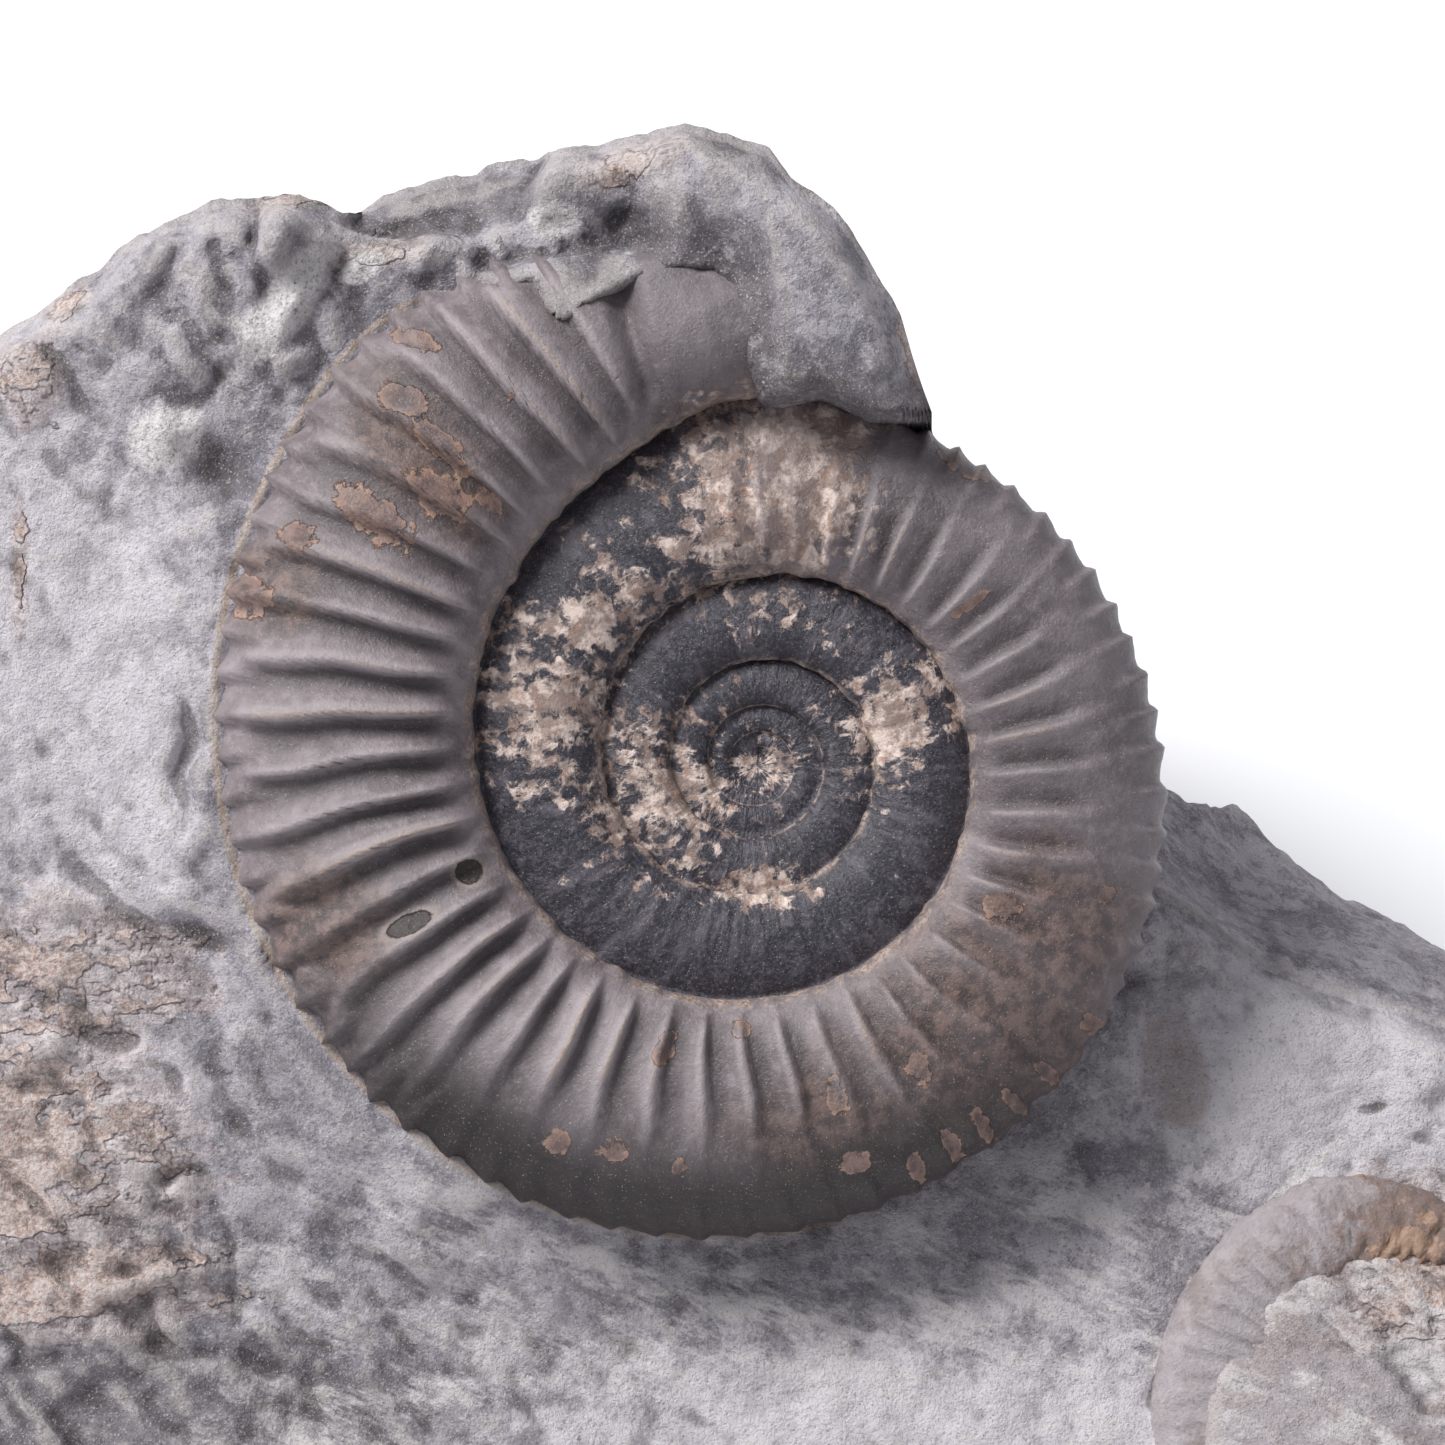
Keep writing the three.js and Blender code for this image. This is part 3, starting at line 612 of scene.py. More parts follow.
LUMPS = [  # across, up, half length, half width, angle, height
    (-26.3, 29.6, 3.4, 2.7, 70, 1.7), (-26.6, 25, 5.2, 1.6, 52, 1.1), (-26, 22.6, 2.5, 1.5, 20, 1.0),
    (-33.4, 18.3, 3.4, 2.7, 30, 0.9), (-30.0, 16.6, 2.6, 3.4, 30, -1.1), (-30.5, 20.9, 3.2, 1.0, 40, -0.6),
    (-32.1, 0.3, 5.5, 1.0, 88, -1.1), (-32.8, -23, 2.4, 0.6, 6, -0.8), (35.2, -19.7, 1.1, 0.45, 10, -0.5),
    (-1.8, 34.1, 2.6, 1.1, -12, -0.7), (-39, -28.1, 2.2, 1.5, 10, -0.9), (-36.5, -33, 4.5, 1.6, 12, 1.0),
    (-31, -9.5, 3.5, 1.2, -12, -0.7), (-38.5, -7.5, 3.5, 1.6, -10, 0.7), (-36.5, 27.5, 4.5, 2.6, 45, -0.8),
    (-11.5, 28.3, 2.1, 1.6, 10, 0.8), (-8.9, 28.6, 1.2, 1.0, 40, -0.7), (-5.6, 30.6, 2.2, 1.2, 20, -0.5),
    (-14.7, 29, 2.0, 1.3, -20, 0.8), (6.6, 22.2, 2.4, 1.8, 60, 0.5), (3.5, 30.2, 3.5, 2, -40, 0.5),
    (24, -17.6, 1.9, 3.4, 15, -0.35), (9, -30, 7, 4, 10, -0.4), (40, -17, 5, 2, -20, 0.8),
    (-20, -27, 8, 1.6, -28, 0.5), (-34, -29.5, 6, 1.4, 18, 0.9), (-40, -16, 3.5, 2, 30, 0.8),
]
CRACKS = [  # from across, up to across, up, half width, depth
    (-28.2, 32, -28.1, 29, 0.25, 1.3), (-28.1, 29, -27.2, 25.9, 0.22, 1.1),
    (-30.2, 29.3, -29.2, 26.4, 0.25, 0.8),
    (-30.4, 30.8, -33, 28, 0.5, 0.5), (-33, 28, -34.8, 23.8, 0.5, 0.5), (-3.5, 36, -4.1, 33.4, 0.3, 0.8),
    (-4.1, 33.4, -2.9, 30, 0.3, 0.7), (-2.9, 30, -2, 28, 0.3, 0.4), (-29.8, -27.3, -29.3, -31.5, 0.2, 0.5),
    (-42, -33.5, -34, -32.5, 0.5, 0.7), (-34, -32.5, -27, -34, 0.4, 0.6), (-42, 25, -37.5, 20.5, 0.6, 0.8),
    (22.4, -36, 25.4, -29.4, 0.4, 0.7), (25.4, -29.4, 30, -24.8, 0.35, 0.4),
]
BREAKS = [  # where the break is scalloped: across, up, how rough, reach across, reach up
    (-29, 27, 0.5, 8, 6), (-9, 31, 0.6, 6, 4), (-38, 22, 0.12, 8, 8), (-38, -22, 0.25, 10, 12),
    (-38, -38, 0.45, 14, 9), (-20, -44, 0.4, 14, 5), (38, -28, 0.6, 4, 6), (-37, -6, 0.15, 6, 9),
    (4, 27, 0.22, 5, 5), (-16, 28, 0.5, 5, 2), (8, 23, 0.3, 2, 3),
]
SKIRT_RADIUS, SKIRT_HEIGHT, SKIRT_CROWN, SKIRT_REACH = 9.6, 3.15, 1.2, 2.6
CONTACT_TURNS, CONTACT_HEIGHTS, CONTACT_REACH = [0.24, 0.36, 0.5, 0.755], [0.0, 2.0, 3.0, 3.4], 5.0


def shell_front(across, up, end=LAST_TURN_END, furthest=1.0):
    """Height of a large shell's front over its plane of symmetry, how far outside it a place lies, and the
    place's turn, found from its angle. The share of the way from seam to venter gives the height."""
    radius = np.hypot(across, up)
    part = np.arctan2(-up, across) / (2 * math.pi) % 1
    turn = np.where(part <= end, part, part - 1)
    seam, venter = seam_radius(turn), venter_radius(turn)
    share = np.clip((radius - seam) / (venter - seam), 0, furthest)
    cosine = (np.clip(share - FLANK_CREST, 0, 1) / (1 - FLANK_CREST)) ** (SQUARENESS / 2)
    return half_breadth(turn) * sharpen(np.sqrt(np.clip(1 - cosine ** 2, 0, 1))), radius - venter, turn


def small_shell_skirt(across, up):
    """Height of the stone that fills the small shell's hub and mouth: a low crown inside a circle on its
    flank, and a bell's slope outside it, leaning as the shell leans. Also how far outside it a place lies."""
    x, y = across - SMALL_PLACE[0], (up - SMALL_PLACE[1]) / math.cos(SMALL_LEAN)
    radius = np.hypot(x, y)
    outside = np.clip(radius - SKIRT_RADIUS, 0, None)
    crown = SKIRT_HEIGHT + SKIRT_CROWN * (1 - np.clip(radius / SKIRT_RADIUS, 0, 1) ** 2)
    fill = SMALL_PLACE[2] + y * math.sin(SMALL_LEAN) + crown * np.exp(-(outside / SKIRT_REACH) ** 2)
    return fill, radius - SKIRT_RADIUS - SKIRT_REACH


def to_segment(across, up, x0, y0, x1, y1):
    """Distance from each place to a straight stretch: to its nearest point, between its two ends."""
    length_squared = (x1 - x0) ** 2 + (y1 - y0) ** 2
    along = np.clip(((across - x0) * (x1 - x0) + (up - y0) * (y1 - y0)) / length_squared, 0, 1)
    return np.hypot(across - x0 - along * (x1 - x0), up - y0 - along * (y1 - y0))


def inside_rim(across, up):
    """How far inside the stone's edge over the shell a place lies: the distance to the nearest stretch of
    the edge, with a minus sign where a line to the right crosses the closed outline an even number of
    times."""
    outline = RIM_OF_STONE + ABOVE_THE_RIM
    nearest = np.full(across.shape, 1e9)
    crossings = np.zeros(across.shape, int)
    for index, ((x0, y0), (x1, y1)) in enumerate(zip(outline, outline[1:] + outline[:1])):
        if index < len(RIM_OF_STONE) - 1:
            nearest = np.minimum(nearest, to_segment(across, up, x0, y0, x1, y1))
        if y0 != y1:
            spans = (y0 > up) != (y1 > up)
            crossings += spans & (across < x0 + (up - y0) / (y1 - y0) * (x1 - x0))
    return np.where(crossings % 2 == 1, nearest, -nearest)


def scallops(points, size, seed, tilt=0.5):
    """Hammer breaks: every lattice cell has one shallow cup at a random place with a random tilt, and the
    surface is the lowest cup there, so cups meet in sharp ridges. It is about 0.3 times size at a ridge."""
    scaled = points / size
    cells = np.floor(scaled)
    lowest = np.full(points.shape[:-1], 1e9)
    dimensions = points.shape[-1]
    for step in itertools.product((-1, 0, 1), repeat=dimensions):
        picked = lattice_pick(cells + step, seed, 2 * dimensions + 1)
        away = scaled - (cells + step) - 0.5 - 0.42 * picked[..., :dimensions]
        lean = tilt * (picked[..., dimensions:-1] * away).sum(-1)
        lowest = np.minimum(lowest, (away ** 2).sum(-1) + lean + 0.25 * picked[..., -1])
    return lowest


def facets(points, size, seed, tilt=0.8, crispness=12.0):
    """Flakes: every lattice cell has one middle at a random place, and its cut is flat: the way from the
    middle times a random tilt, plus a random step. The cuts are averaged, each weighed by e to minus the
    crispness times its squared distance, so the nearest wins. In millimetres."""
    scaled = points / size
    cells = np.floor(scaled)
    height, weights = np.zeros(points.shape[:-1]), np.full(points.shape[:-1], 1e-9)
    dimensions = points.shape[-1]
    for step in itertools.product((-1, 0, 1), repeat=dimensions):
        picked = lattice_pick(cells + step, seed, 2 * dimensions + 1)
        away = scaled - (cells + step) - 0.5 - 0.42 * picked[..., :dimensions]
        cut = tilt * (picked[..., dimensions:-1] * away).sum(-1) + 0.15 * picked[..., -1]
        weight = np.exp(-crispness * (away ** 2).sum(-1))
        height, weights = height + weight * cut, weights + weight
    return size * height / weights


def softened(grid):
    """A grid of values, each averaged with its neighbours in weights 1, 2, 1 along both sides."""
    grid = np.pad(grid, 1, mode="edge")
    grid = (grid[:-2] + 2 * grid[1:-1] + grid[2:]) / 4
    return (grid[:, :-2] + 2 * grid[:, 1:-1] + grid[:, 2:]) / 4


def stone_height(across, up):
    """Height of the broken face over the shell's plane of symmetry: broad rises and hollows, lumps and
    cracks, scalloped breaks and grain. Over the shell's mouth it is a lobe that carries on the shape of the
    last turn and rises off it; elsewhere the stone laps thinly over the shell's edge or lies under it."""
    place = np.stack([across, up], -1)
    warped = place + 0.8 * np.stack([ripple(place, 3.5, 21), ripple(place, 3.5, 22)], -1)
    bent_across, bent_up = warped[..., 0], warped[..., 1]

    height = FACE_LEVEL + sum(bell(across, up, spot) for spot in FACE_RELIEF)
    on_step = smooth_step(BACK_STEP_FROM - 1, BACK_STEP_FROM + 1, bent_across) \
        * (1 - smooth_step(BACK_STEP_TO - 1, BACK_STEP_TO + 1, bent_across))
    height = height - BACK_STEP_DROP * on_step * smooth_step(BACK_STEP_UP, BACK_STEP_UP + 1.2, bent_up)
    height = np.maximum(height, small_shell_skirt(bent_across, bent_up)[0])

    slanted = warped @ np.array([[0.75, -0.66], [0.66, 0.75]]) * [1, 0.5]
    rough = 0.1 + sum(bell(across, up, spot) for spot in BREAKS)
    detail = rough * (1.2 * scallops(slanted, 4.2, 31) + 0.9 * facets(slanted, 2.0, 32)
                      + 0.8 * facets(warped, 1.0, 33) - 0.4)
    detail = detail + 0.25 * layered(place, 5.0, 41, 3) + 0.1 * layered(place, 1.2, 45, 3)
    for *spot, lump in LUMPS:
        detail = detail + lump * smooth_step(0, 1, blotches(bent_across, bent_up, [spot]))
    for *ends, half_width, depth in CRACKS:
        detail = detail - depth * np.exp(-(to_segment(bent_across, bent_up, *ends) / half_width) ** 2)
    detail = softened(detail)

    shell, outside, turn = shell_front(across, up)
    inside = inside_rim(across, up)
    contact = np.interp(turn, CONTACT_TURNS, CONTACT_HEIGHTS)
    touching = np.exp(-(np.clip(outside, 0, None) / CONTACT_REACH) ** 2) * smooth_step(0, 2, contact) \
        * smooth_step(-4, -2, outside)
    height = height + (contact - height) * touching
    carried_on = shell_front(across, up, 0.97, 0.72)[0]
    crown = LOBE_HEIGHT - LOBE_CROWN * ((across - LOBE_MIDDLE[0]) ** 2 + (up - LOBE_MIDDLE[1]) ** 2)
    rise_over = 5.5 - 4.6 * smooth_step(0, 2, across)
    lobe = carried_on + (np.maximum(crown, carried_on) - carried_on) * smooth_step(0, rise_over, inside)
    on_lobe = smooth_step(-7.5, -4, across + 0.3 * (up - 30))
    lapping = shell + 0.45 * (1 - np.exp(-np.clip(inside, 0, None) / 0.5))
    over = np.maximum(height + detail, lapping + 0.4 * smooth_step(0, 1.5, inside) * detail) * (1 - on_lobe) \
        + np.maximum(lobe + (0.15 + 0.35 * smooth_step(0, 3, inside)) * detail, 0) * on_lobe
    on_shell = np.minimum(height + detail, np.maximum(shell - 1.0, contact * (outside > -3)))
    under = np.where(outside < 0, on_shell, height + detail)
    bead_place = 0.3 - 0.25 * contact
    bank = 0.35 * np.exp(-((outside - bead_place) / 0.35) ** 2) \
        * (np.abs(outside) < 2) * (up < 25) * (across < 3)
    return under + (over - under) * smooth_step(-0.35, 0.35, inside) + bank * (0.6 + ripple(place, 1.5, 47))


STONE_COLUMNS, FACE_ROWS, BACK_ROWS, BASE_ROWS, WALL_ROWS, END_RINGS = 318, 222, 42, 2, 14, 16
END_BULGE = 1.4


def stone_columns():
    """Places across for the stone's slices, closest at the lobe's steep right side and widest at the ends."""
    places = np.linspace(SKYLINE[0][0], SKYLINE[-1][0], 2000)
    density = 0.35 + smooth_step(-44, -42, places) * (1 - smooth_step(40, 42, places)) \
        + 1.5 * np.exp(-((places - 7.5) / 1.8) ** 2)
    total = np.concatenate([[0], np.cumsum((density[1:] + density[:-1]) / 2)])
    return np.interp(np.linspace(0, total[-1], STONE_COLUMNS + 1), total, places)


def stone_slices():
    """The stone's slices, each a closed ring: up the face, down the back and along the flat underside."""
    across = stone_columns()
    top, foot = (np.interp(across, *zip(*line)) for line in (SKYLINE, FACE_FOOT))
    top = top + 0.35 * layered(np.stack([across, across * 0], -1), 2.6, 51, 4)
    share = np.linspace(0, 1, FACE_ROWS + 1)
    up = foot[:, None] + (top - foot)[:, None] * share
    wide = np.broadcast_to(across[:, None], up.shape)
    from_edge = np.minimum(up - foot[:, None], top[:, None] - up)
    near_skyline = [to_segment(wide, up, *start, *end) for start, end in zip(SKYLINE, SKYLINE[1:])]
    from_edge = np.minimum(from_edge, np.minimum.reduce(near_skyline))
    rounding = EDGE_ROUNDING * (1 - smooth_step(0, EDGE_ROUNDING, from_edge)) ** 2
    face = on_face(wide, up, stone_height(wide, up) - rounding) / MM

    heel = np.stack([across, np.interp(across, *zip(*BACK_FOOT)), across * 0], -1)
    fall = np.linspace(0, 1, BACK_ROWS + 1)[1:, None]
    back = face[:, -1:] + (heel[:, None] - face[:, -1:]) * fall
    back = back + BACK_BULGE * np.sin(math.pi * fall) * np.array([0, 1, 0.35])
    away = np.sin(math.pi * fall[:, 0]) ** 0.5
    warped = back + 1.2 * ripple(back, 6.0, 61)[..., None]
    rugged = 3.6 * scallops(warped, 11.0, 62) + 1.0 * scallops(warped, 4.0, 63) - 1.2 \
        + 0.25 * layered(back, 2.0, 64, 2)
    back = back + (away * rugged)[..., None] * np.array([0, 0.8, 0.6])
    toe = np.stack([across, face[:, 0, 1] + UNDERCUT, across * 0], -1)
    sole = heel[:, None] + (toe - heel)[:, None] * (np.arange(1, BASE_ROWS + 1) / BASE_ROWS)[:, None]
    climb = np.arange(1, WALL_ROWS)[:, None] / WALL_ROWS
    wall = toe[:, None] + (face[:, :1] - toe[:, None]) * climb
    chipped = 1.4 * scallops(wall, 6.0, 65) + 0.7 * facets(wall, 2.6, 66) + 0.3 * layered(wall, 1.5, 67, 2)
    wall = wall + (np.sin(math.pi * climb[:, 0]) ** 0.4 * (chipped + 0.3))[..., None] * np.array([0, 1, 0])
    return np.concatenate([face, back, sole, wall], 1)


def stone_shape():
    """The slices joined into one skin, each end closed by rings that shrink to its middle."""
    slices = stone_slices()
    ring = slices.shape[1]
    ids = np.arange(slices[..., 0].size).reshape(slices.shape[:2])
    points, strips = [slices.reshape(-1, 3)], [np.concatenate([ids, ids[:, :1]], 1)]
    counted = ids.size
    for end, outward in ((0, -1), (-1, 1)):
        rim = slices[end]
        middle = rim.mean(0)
        shrink = np.arange(1, END_RINGS) / END_RINGS
        rings = rim + (middle - rim) * shrink[:, None, None]
        chipped = 0.7 - 1.2 * scallops(rings, 7.0, 71) - 0.6 * facets(rings, 2.6, 72)
        bulge = END_BULGE * np.sin(shrink * math.pi / 2)[:, None] ** 0.5 * np.minimum(chipped, 1)
        rings = rings + bulge[..., None] * [outward, 0, 0]
        ring_ids = counted + np.arange(rings[..., 0].size).reshape(rings.shape[:2])
        counted += ring_ids.size
        points += [rings.reshape(-1, 3), (middle + [outward * END_BULGE * 0.4, 0, 0])[None]]
        around = np.concatenate([ids[end][None], ring_ids, np.full((1, ring), counted)], 0)
        counted += 1
        around = np.concatenate([around, around[:, :1]], 1)
        strips.append(around[::-1] if end == 0 else around)
    triangles = []
    for strip in strips:
        quad = [strip[:-1, :-1], strip[1:, :-1], strip[1:, 1:], strip[:-1, 1:]]
        for corners in ((0, 1, 2), (0, 2, 3)):
            made = np.stack([quad[i] for i in corners], -1).reshape(-1, 3)
            whole = (made[:, 0] != made[:, 1]) & (made[:, 1] != made[:, 2]) & (made[:, 0] != made[:, 2])
            triangles.append(made[whole])
    of_slices = np.tile(np.arange(ring) <= FACE_ROWS, len(slices))
    on_face_grid = np.concatenate([of_slices, np.zeros(counted - len(of_slices), bool)])
    return {"points": np.concatenate(points) * MM, "triangles": np.concatenate(triangles),
            "point_values": {"on_face_grid": on_face_grid}}


def hollow_or_edge(shape):
    """How far each point stands over the mean of its neighbours, smoothed four times: edges of the break
    are above 0 and cracks below it, in millimetres."""
    points, triangles = shape["points"], shape["triangles"]
    pairs = np.concatenate([triangles[:, [0, 1]], triangles[:, [1, 2]], triangles[:, [2, 0]]])
    count = np.bincount(pairs.ravel(), minlength=len(points))[:, None]

    def gathered(ids, values):
        return np.stack([np.bincount(ids, values[:, axis], len(points)) for axis in range(3)], 1)

    corners = points[triangles]
    facing = np.cross(corners[:, 1] - corners[:, 0], corners[:, 2] - corners[:, 0])
    normals = sum(gathered(triangles[:, corner], facing) for corner in range(3))
    normals /= np.linalg.norm(normals, axis=1, keepdims=True) + 1e-20
    smooth = points
    for _ in range(4):
        from_first, from_second = (gathered(pairs[:, i], smooth[pairs[:, 1 - i]]) for i in (0, 1))
        smooth = (from_first + from_second) / count
    return ((points - smooth) * normals).sum(1) / MM


CALCITE_PLACES = [(-26.6, 25.4, 5.2, 1.5, 54), (-11.3, 30.5, 1.6, 1.2, 0), (-33.4, 18.3, 2.6, 1.9, 30),
                  (-22, 27.8, 1.6, 0.8, 30), (0.6, 22.0, 1.2, 0.6, -20),
                  (23.8, -31.5, 4, 0.35, 66), (30.5, -24, 5, 0.4, 40)]
BEIGE_PLACES = [(-38.8, 26, 1.8, 1.1, 30), (-40.8, 21.8, 2.8, 2.8, 0), (-39, -12, 9, 5, 0),
                (-41, -22, 10, 9, 0), (-38, -29, 10, 4, 0), (8.6, 23.3, 0.8, 3, 10), (37, -28, 6, 5, 60),
                (-26.4, 31.6, 2.4, 0.9, 10), (-21, 28.6, 3, 1, 10), (-7, 33.5, 4, 1.2, 20),
                (-41.4, 11, 0.6, 4.5, 0)]
DARK_PLACES = [(-30.0, 16.6, 2.0, 2.6, 30), (-5.5, 30.3, 2.5, 1.4, 20), (-33, -36.8, 19, 5.4, 4),
               (-17, 31.5, 6, 2, 10),
               (-9.5, 26, 4, 2.5, 0), (-1.8, 34.3, 2.4, 1.0, -12), (-32.8, -23, 2.4, 0.6, 6),
               (35.2, -19.7, 1.1, 0.4, 10), (-8.9, 28.4, 1.2, 1.4, 10), (-33, -9.5, 5, 1, -8),
               (-30, 26, 1, 3, 0)]
KIDNEY = (24, -17.6, 1.9, 3.4, 15)  # a low, worn, kidney-shaped swelling right of the large shell
PALE_PLACES = [(-39, 6, 9, 14, 0), (-42, 20, 5, 8, 0), (-36, -3, 5, 9, 0), (10, -40, 30, 8, 0),
               (33, -19, 15, 8, -20), (-40, -16, 10, 10, 0)]


def broken_limestone():
    """Fine-grained limestone broken by a hammer, never polished: matt blue-grey with a salt-like grain, pale
    on worn edges with a painted highlight there too, painted shade in its cracks, a dark rim on the lobe that
    is partly the shell's colour and partly painted shade, beige weathered skin, white calcite and thin pale
    veins."""
    material, tree, shader, value = new_material("limestone_hammer_broken", (
        "edge", "beige", "calcite", "dark", "veined", "pale", "rim", "skin", "dome", "rough"))
    place = value["place"]
    flat = add_node(tree, "VectorRotate", {"Vector": place, "Angle": FACE_LEAN - math.pi / 2},
                    rotation_type="X_AXIS").outputs[0]
    turned = add_node(tree, "VectorRotate", {"Vector": flat, "Angle": math.radians(22)},
                      rotation_type="Z_AXIS").outputs[0]
    for name, vector, stretch in (("streaked", turned, 0.3), ("bedded", flat, 0.28)):
        value[name] = add_node(tree, "VectorMath", {0: vector, 1: (stretch, 1.0, 1.0)},
                               operation="MULTIPLY").outputs[0]
    # chips about 1.3 mm wide: each cell's way from its middle times a tilt of its own
    warp = add_node(tree, "TexNoise", {"Vector": place, "Scale": 1.2, "Detail": 3.0}).outputs["Color"]
    warped = add_node(tree, "VectorMath", {0: warp, 1: (0.9, 0.9, 0.9), 2: place},
                      operation="MULTIPLY_ADD").outputs[0]
    cells = add_node(tree, "TexVoronoi", {"Vector": warped, "Scale": 1 / 1.3})
    away = add_node(tree, "VectorMath", {0: warped, 1: cells.outputs["Position"]},
                    operation="SUBTRACT").outputs[0]
    tilt = add_node(tree, "VectorMath", {0: cells.outputs["Color"], 1: (0.5, 0.5, 0.5)},
                    operation="SUBTRACT").outputs[0]
    value["chips"] = add_node(tree, "VectorMath", {0: away, 1: tilt},
                              operation="DOT_PRODUCT").outputs["Value"]
    noises = {
        "broad": ("place", 9.0, 6.0, 0.7), "patchy": ("place", 3.2, 9.0, 0.72),
        "middle": ("place", 1.1, 6.0, 0.7), "fine": ("place", 0.3, 4.0, 0.7),
        "salt": ("place", 0.13, 1.0, 0.6), "cloud": ("streaked", 2.6, 9.0, 0.74),
        "bedding": ("bedded", 1.5, 8.0, 0.72), "flake_broad": ("bedded", 2.4, 3.0, 0.6),
        "flake_fine": ("place", 1.0, 2.0, 0.6),
    }
    masks = {
        "flake": {"beige": 1, "flake_broad": 2.4, "flake_fine": 1.0},
        "flake_step": ("flake", 2.1, 2.25),
        "rough_chips": ["chips", "rough"],
        "relief": {"patchy": 1, "middle": 0.4, "fine": 0.25, "rough_chips": 1.6, "salt": 0.12,
                   "flake_step": 0.35},
    }
    coats = {
        "worn_dome": ["#b9afb2", (("patchy", 0.42, 0.6), "#a69690")],
        "weathered": ["#9f8c8a", (("middle", 0.42, 0.58), "#e0d2cf")],
        "flaked": ["#c4a698", (("fine", 0.4, 0.6), "#e9d9d2")],
        "calcite_grain": ["#c6bfbf", (("fine", 0.3, 0.6), "#f0ecea")],
        # the dark rim of the lobe next to the shell: partly the shell's colour carried onto the stone, partly
        # painted shade of the lobe's rounded lower lip
        "lobe_skin_and_shade": ["#615a5d", (("patchy", 0.4, 0.62), "#7b7377")],
        "stone": [
            "#8a858d", (("patchy", 0.45, 0.55), "#bab4bb"), (("broad", 0.42, 0.62, 0.5), "#aba3ab"),
            (("middle", 0.54, 0.64, 0.5), "#cfc9ce"), (("middle", 0.46, 0.37, 0.5), "#625e66"),
            (({"pale": 1, "patchy": 1.8}, 0.7, 1.4, 0.85), "#e2dce1"), ({"dome": 0.75}, "worn_dome"),
            (({"dark": 1, "patchy": 1.8}, 0.95, 1.25, 0.7), "#6a6366"),
            (({"beige": 1, "bedding": 1.8, "patchy": 1.2}, 1.5, 1.62, 0.6), "weathered"),
            (("flake", 2.1, 2.2, 0.6), "#857371"), (("flake", 2.22, 2.3, 0.8), "flaked"),
            ([("bedding", 0.47, 0.38, 0.6), ("beige", -0.2, 0.4)], "#6d5f5d"),
            (["veined", ("cloud", 0.48, 0.6, 0.85)], "#dfd9d9"),
            (({"rim": 1, "fine": 0.8}, 0.8, 1.1, 0.8), "#b7a18e"),
            # the edge value paints worn, paler edges that double as a painted highlight, and painted shade in
            # the cracks and hollows of the break
            (("edge", 0.015, 0.12, 0.45), "#cfc6c2"), (("edge", -0.01, -0.12, 0.6), "#4d4645"),
            (({"calcite": 1, "patchy": 1.4}, 0.6, 1.0, 0.85), "calcite_grain"),
            (["skin", ("middle", 0.8, 0.5)], "lobe_skin_and_shade"),
            (("fine", 0.56, 0.72, 0.5), "#dcd8da"), (("fine", 0.44, 0.28, 0.5), "#4a474b"),
            (("salt", 0.61, 0.72, 0.5), "#e6e2e0"), (("salt", 0.39, 0.29, 0.4), "#4a474b")],
    }
    paint(tree, shader, value, noises, masks, coats, 0.7)
    shader.inputs["Roughness"].default_value = 0.85
    return material


COARSE_WEAR_AND_SHADE = 0.15  # how much of the edges' wear and painted highlight, and of the painted shade in cracks, shows off the face, where the mesh is coarser
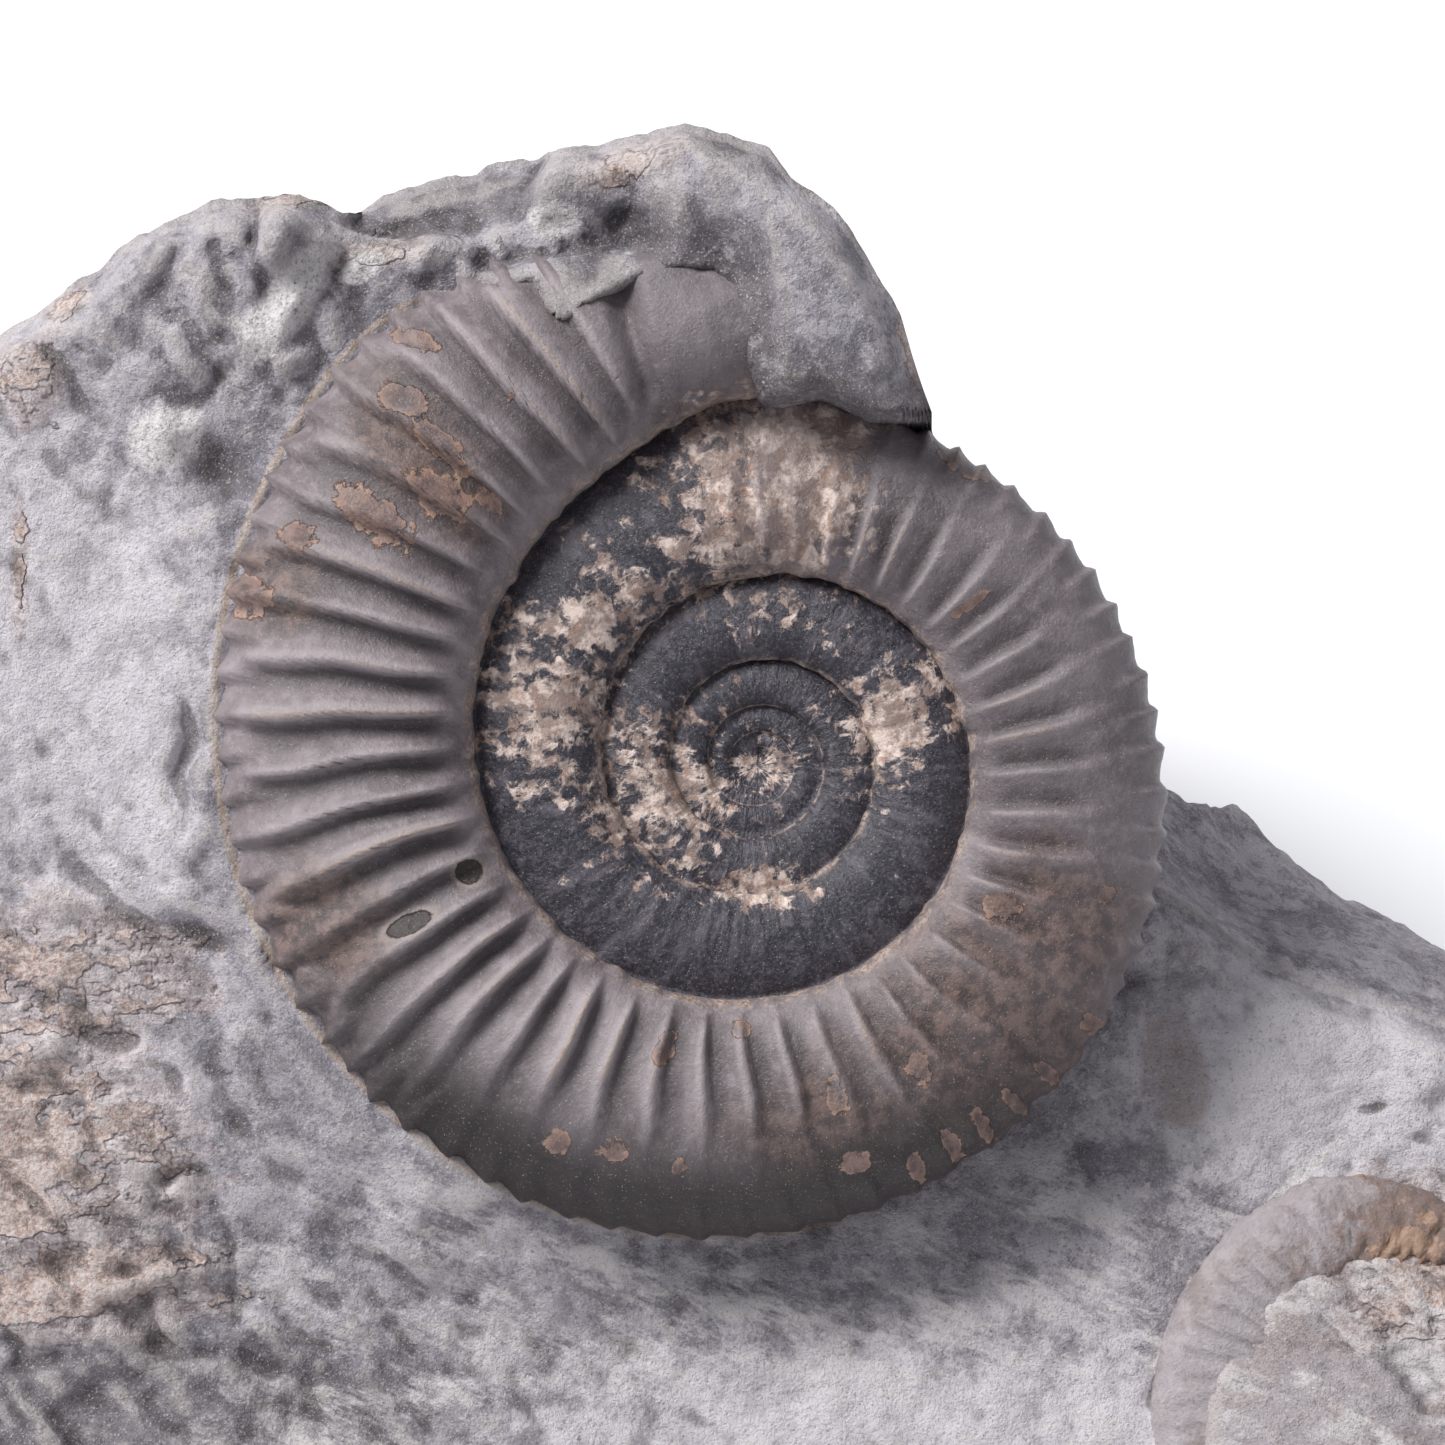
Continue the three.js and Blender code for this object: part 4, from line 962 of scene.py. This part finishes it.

limestone_shape = stone_shape()
on_face_grid = limestone_shape["point_values"].pop("on_face_grid")
wear_and_shade_shown = np.where(on_face_grid, 1, COARSE_WEAR_AND_SHADE)
limestone_shape["point_values"]["edge"] = hollow_or_edge(limestone_shape) * wear_and_shade_shown
across, up, out = face_place(limestone_shape["points"])
for key, spots in (("beige", BEIGE_PLACES), ("calcite", CALCITE_PLACES), ("dark", DARK_PLACES),
                   ("pale", PALE_PLACES)):
    limestone_shape["point_values"][key] = (1 + blotches(across, up, spots)) * smooth_step(-12, -9, out) - 1
outside, turn = shell_front(across, up)[1:]
bead_place = 0.3 - 0.25 * np.interp(turn, CONTACT_TURNS, CONTACT_HEIGHTS)
inside = inside_rim(across, up)
limestone_shape["point_values"].update(
    veined=smooth_step(-18, -26, up) * smooth_step(-40, -20, across),
    rim=np.exp(-((outside - bead_place) / 0.3) ** 2) * (up < 26) * (across < 5),
    # skin: the lobe's edge over the shell, dark partly with the shell's colour and partly as painted shade
    # under the lobe's lip
    skin=(1 - smooth_step(0.5, 5 - 1.5 * smooth_step(0, 3, across), inside)) * smooth_step(-7.5, -6, across)
    * (out > 2) * (up > 10),
    dome=np.maximum(smooth_step(1, -1, small_shell_skirt(across, up)[1]),
                    smooth_step(-0.1, 0.15, blotches(across, up, [KIDNEY])) * (out > -12)),
    rough=np.where(out < -10, 0.6, 0.15 + sum(bell(across, up, spot) for spot in BREAKS)))
limestone = make_piece("limestone_matrix", limestone_shape, broken_limestone())
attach(limestone, "root")
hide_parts("matrix_rock")


# ------------------------------------------------------------------------------------ floor, light, camera
# A plain pale table under soft studio light: one broad lamp high on the left, and pale walls all round.

bpy.ops.mesh.primitive_plane_add(size=6)
floor = bpy.context.object
floor.name = "floor"
paper, _, shader, _ = new_material("white_paper")
shader.inputs["Base Color"].default_value = linear("#f8f8fa")
shader.inputs["Roughness"].default_value = 0.9
floor.data.materials.append(paper)

world = bpy.data.worlds.new("pale_room")
bpy.context.scene.world = world
world.use_nodes = True
world.node_tree.nodes["Background"].inputs["Color"].default_value = linear("#f4f6ff")
world.node_tree.nodes["Background"].inputs["Strength"].default_value = 0.36

AIM = on_face(-1.93, 2.38, 2.5)


def add_lamp(name, toward, distance, size, power):
    """A square lamp that faces the fossil from a direction given across, up and out."""
    data = bpy.data.lights.new(name, "AREA")
    data.size, data.energy = size, power
    lamp = bpy.data.objects.new(name, data)
    direction = toward[0] * ACROSS + toward[1] * UP + toward[2] * OUT
    direction = direction / np.linalg.norm(direction)
    lamp.location = AIM + direction * distance
    lamp.rotation_euler = Vector(direction).to_track_quat("Z", "Y").to_euler()
    bpy.context.scene.collection.objects.link(lamp)


add_lamp("broad_lamp", (-0.56, 0.64, 0.53), 1.2, 0.45, 17.5)

camera_data = bpy.data.cameras.new("camera")
camera_data.lens, camera_data.sensor_width = 100, 24
camera_data.clip_start = 0.01
camera = bpy.data.objects.new("camera", camera_data)
camera.location = AIM + 0.337 * OUT
camera.rotation_euler = Vector(OUT).to_track_quat("Z", "Y").to_euler()
bpy.context.scene.collection.objects.link(camera)
bpy.context.scene.camera = camera
bpy.context.scene.view_settings.view_transform = "Standard"
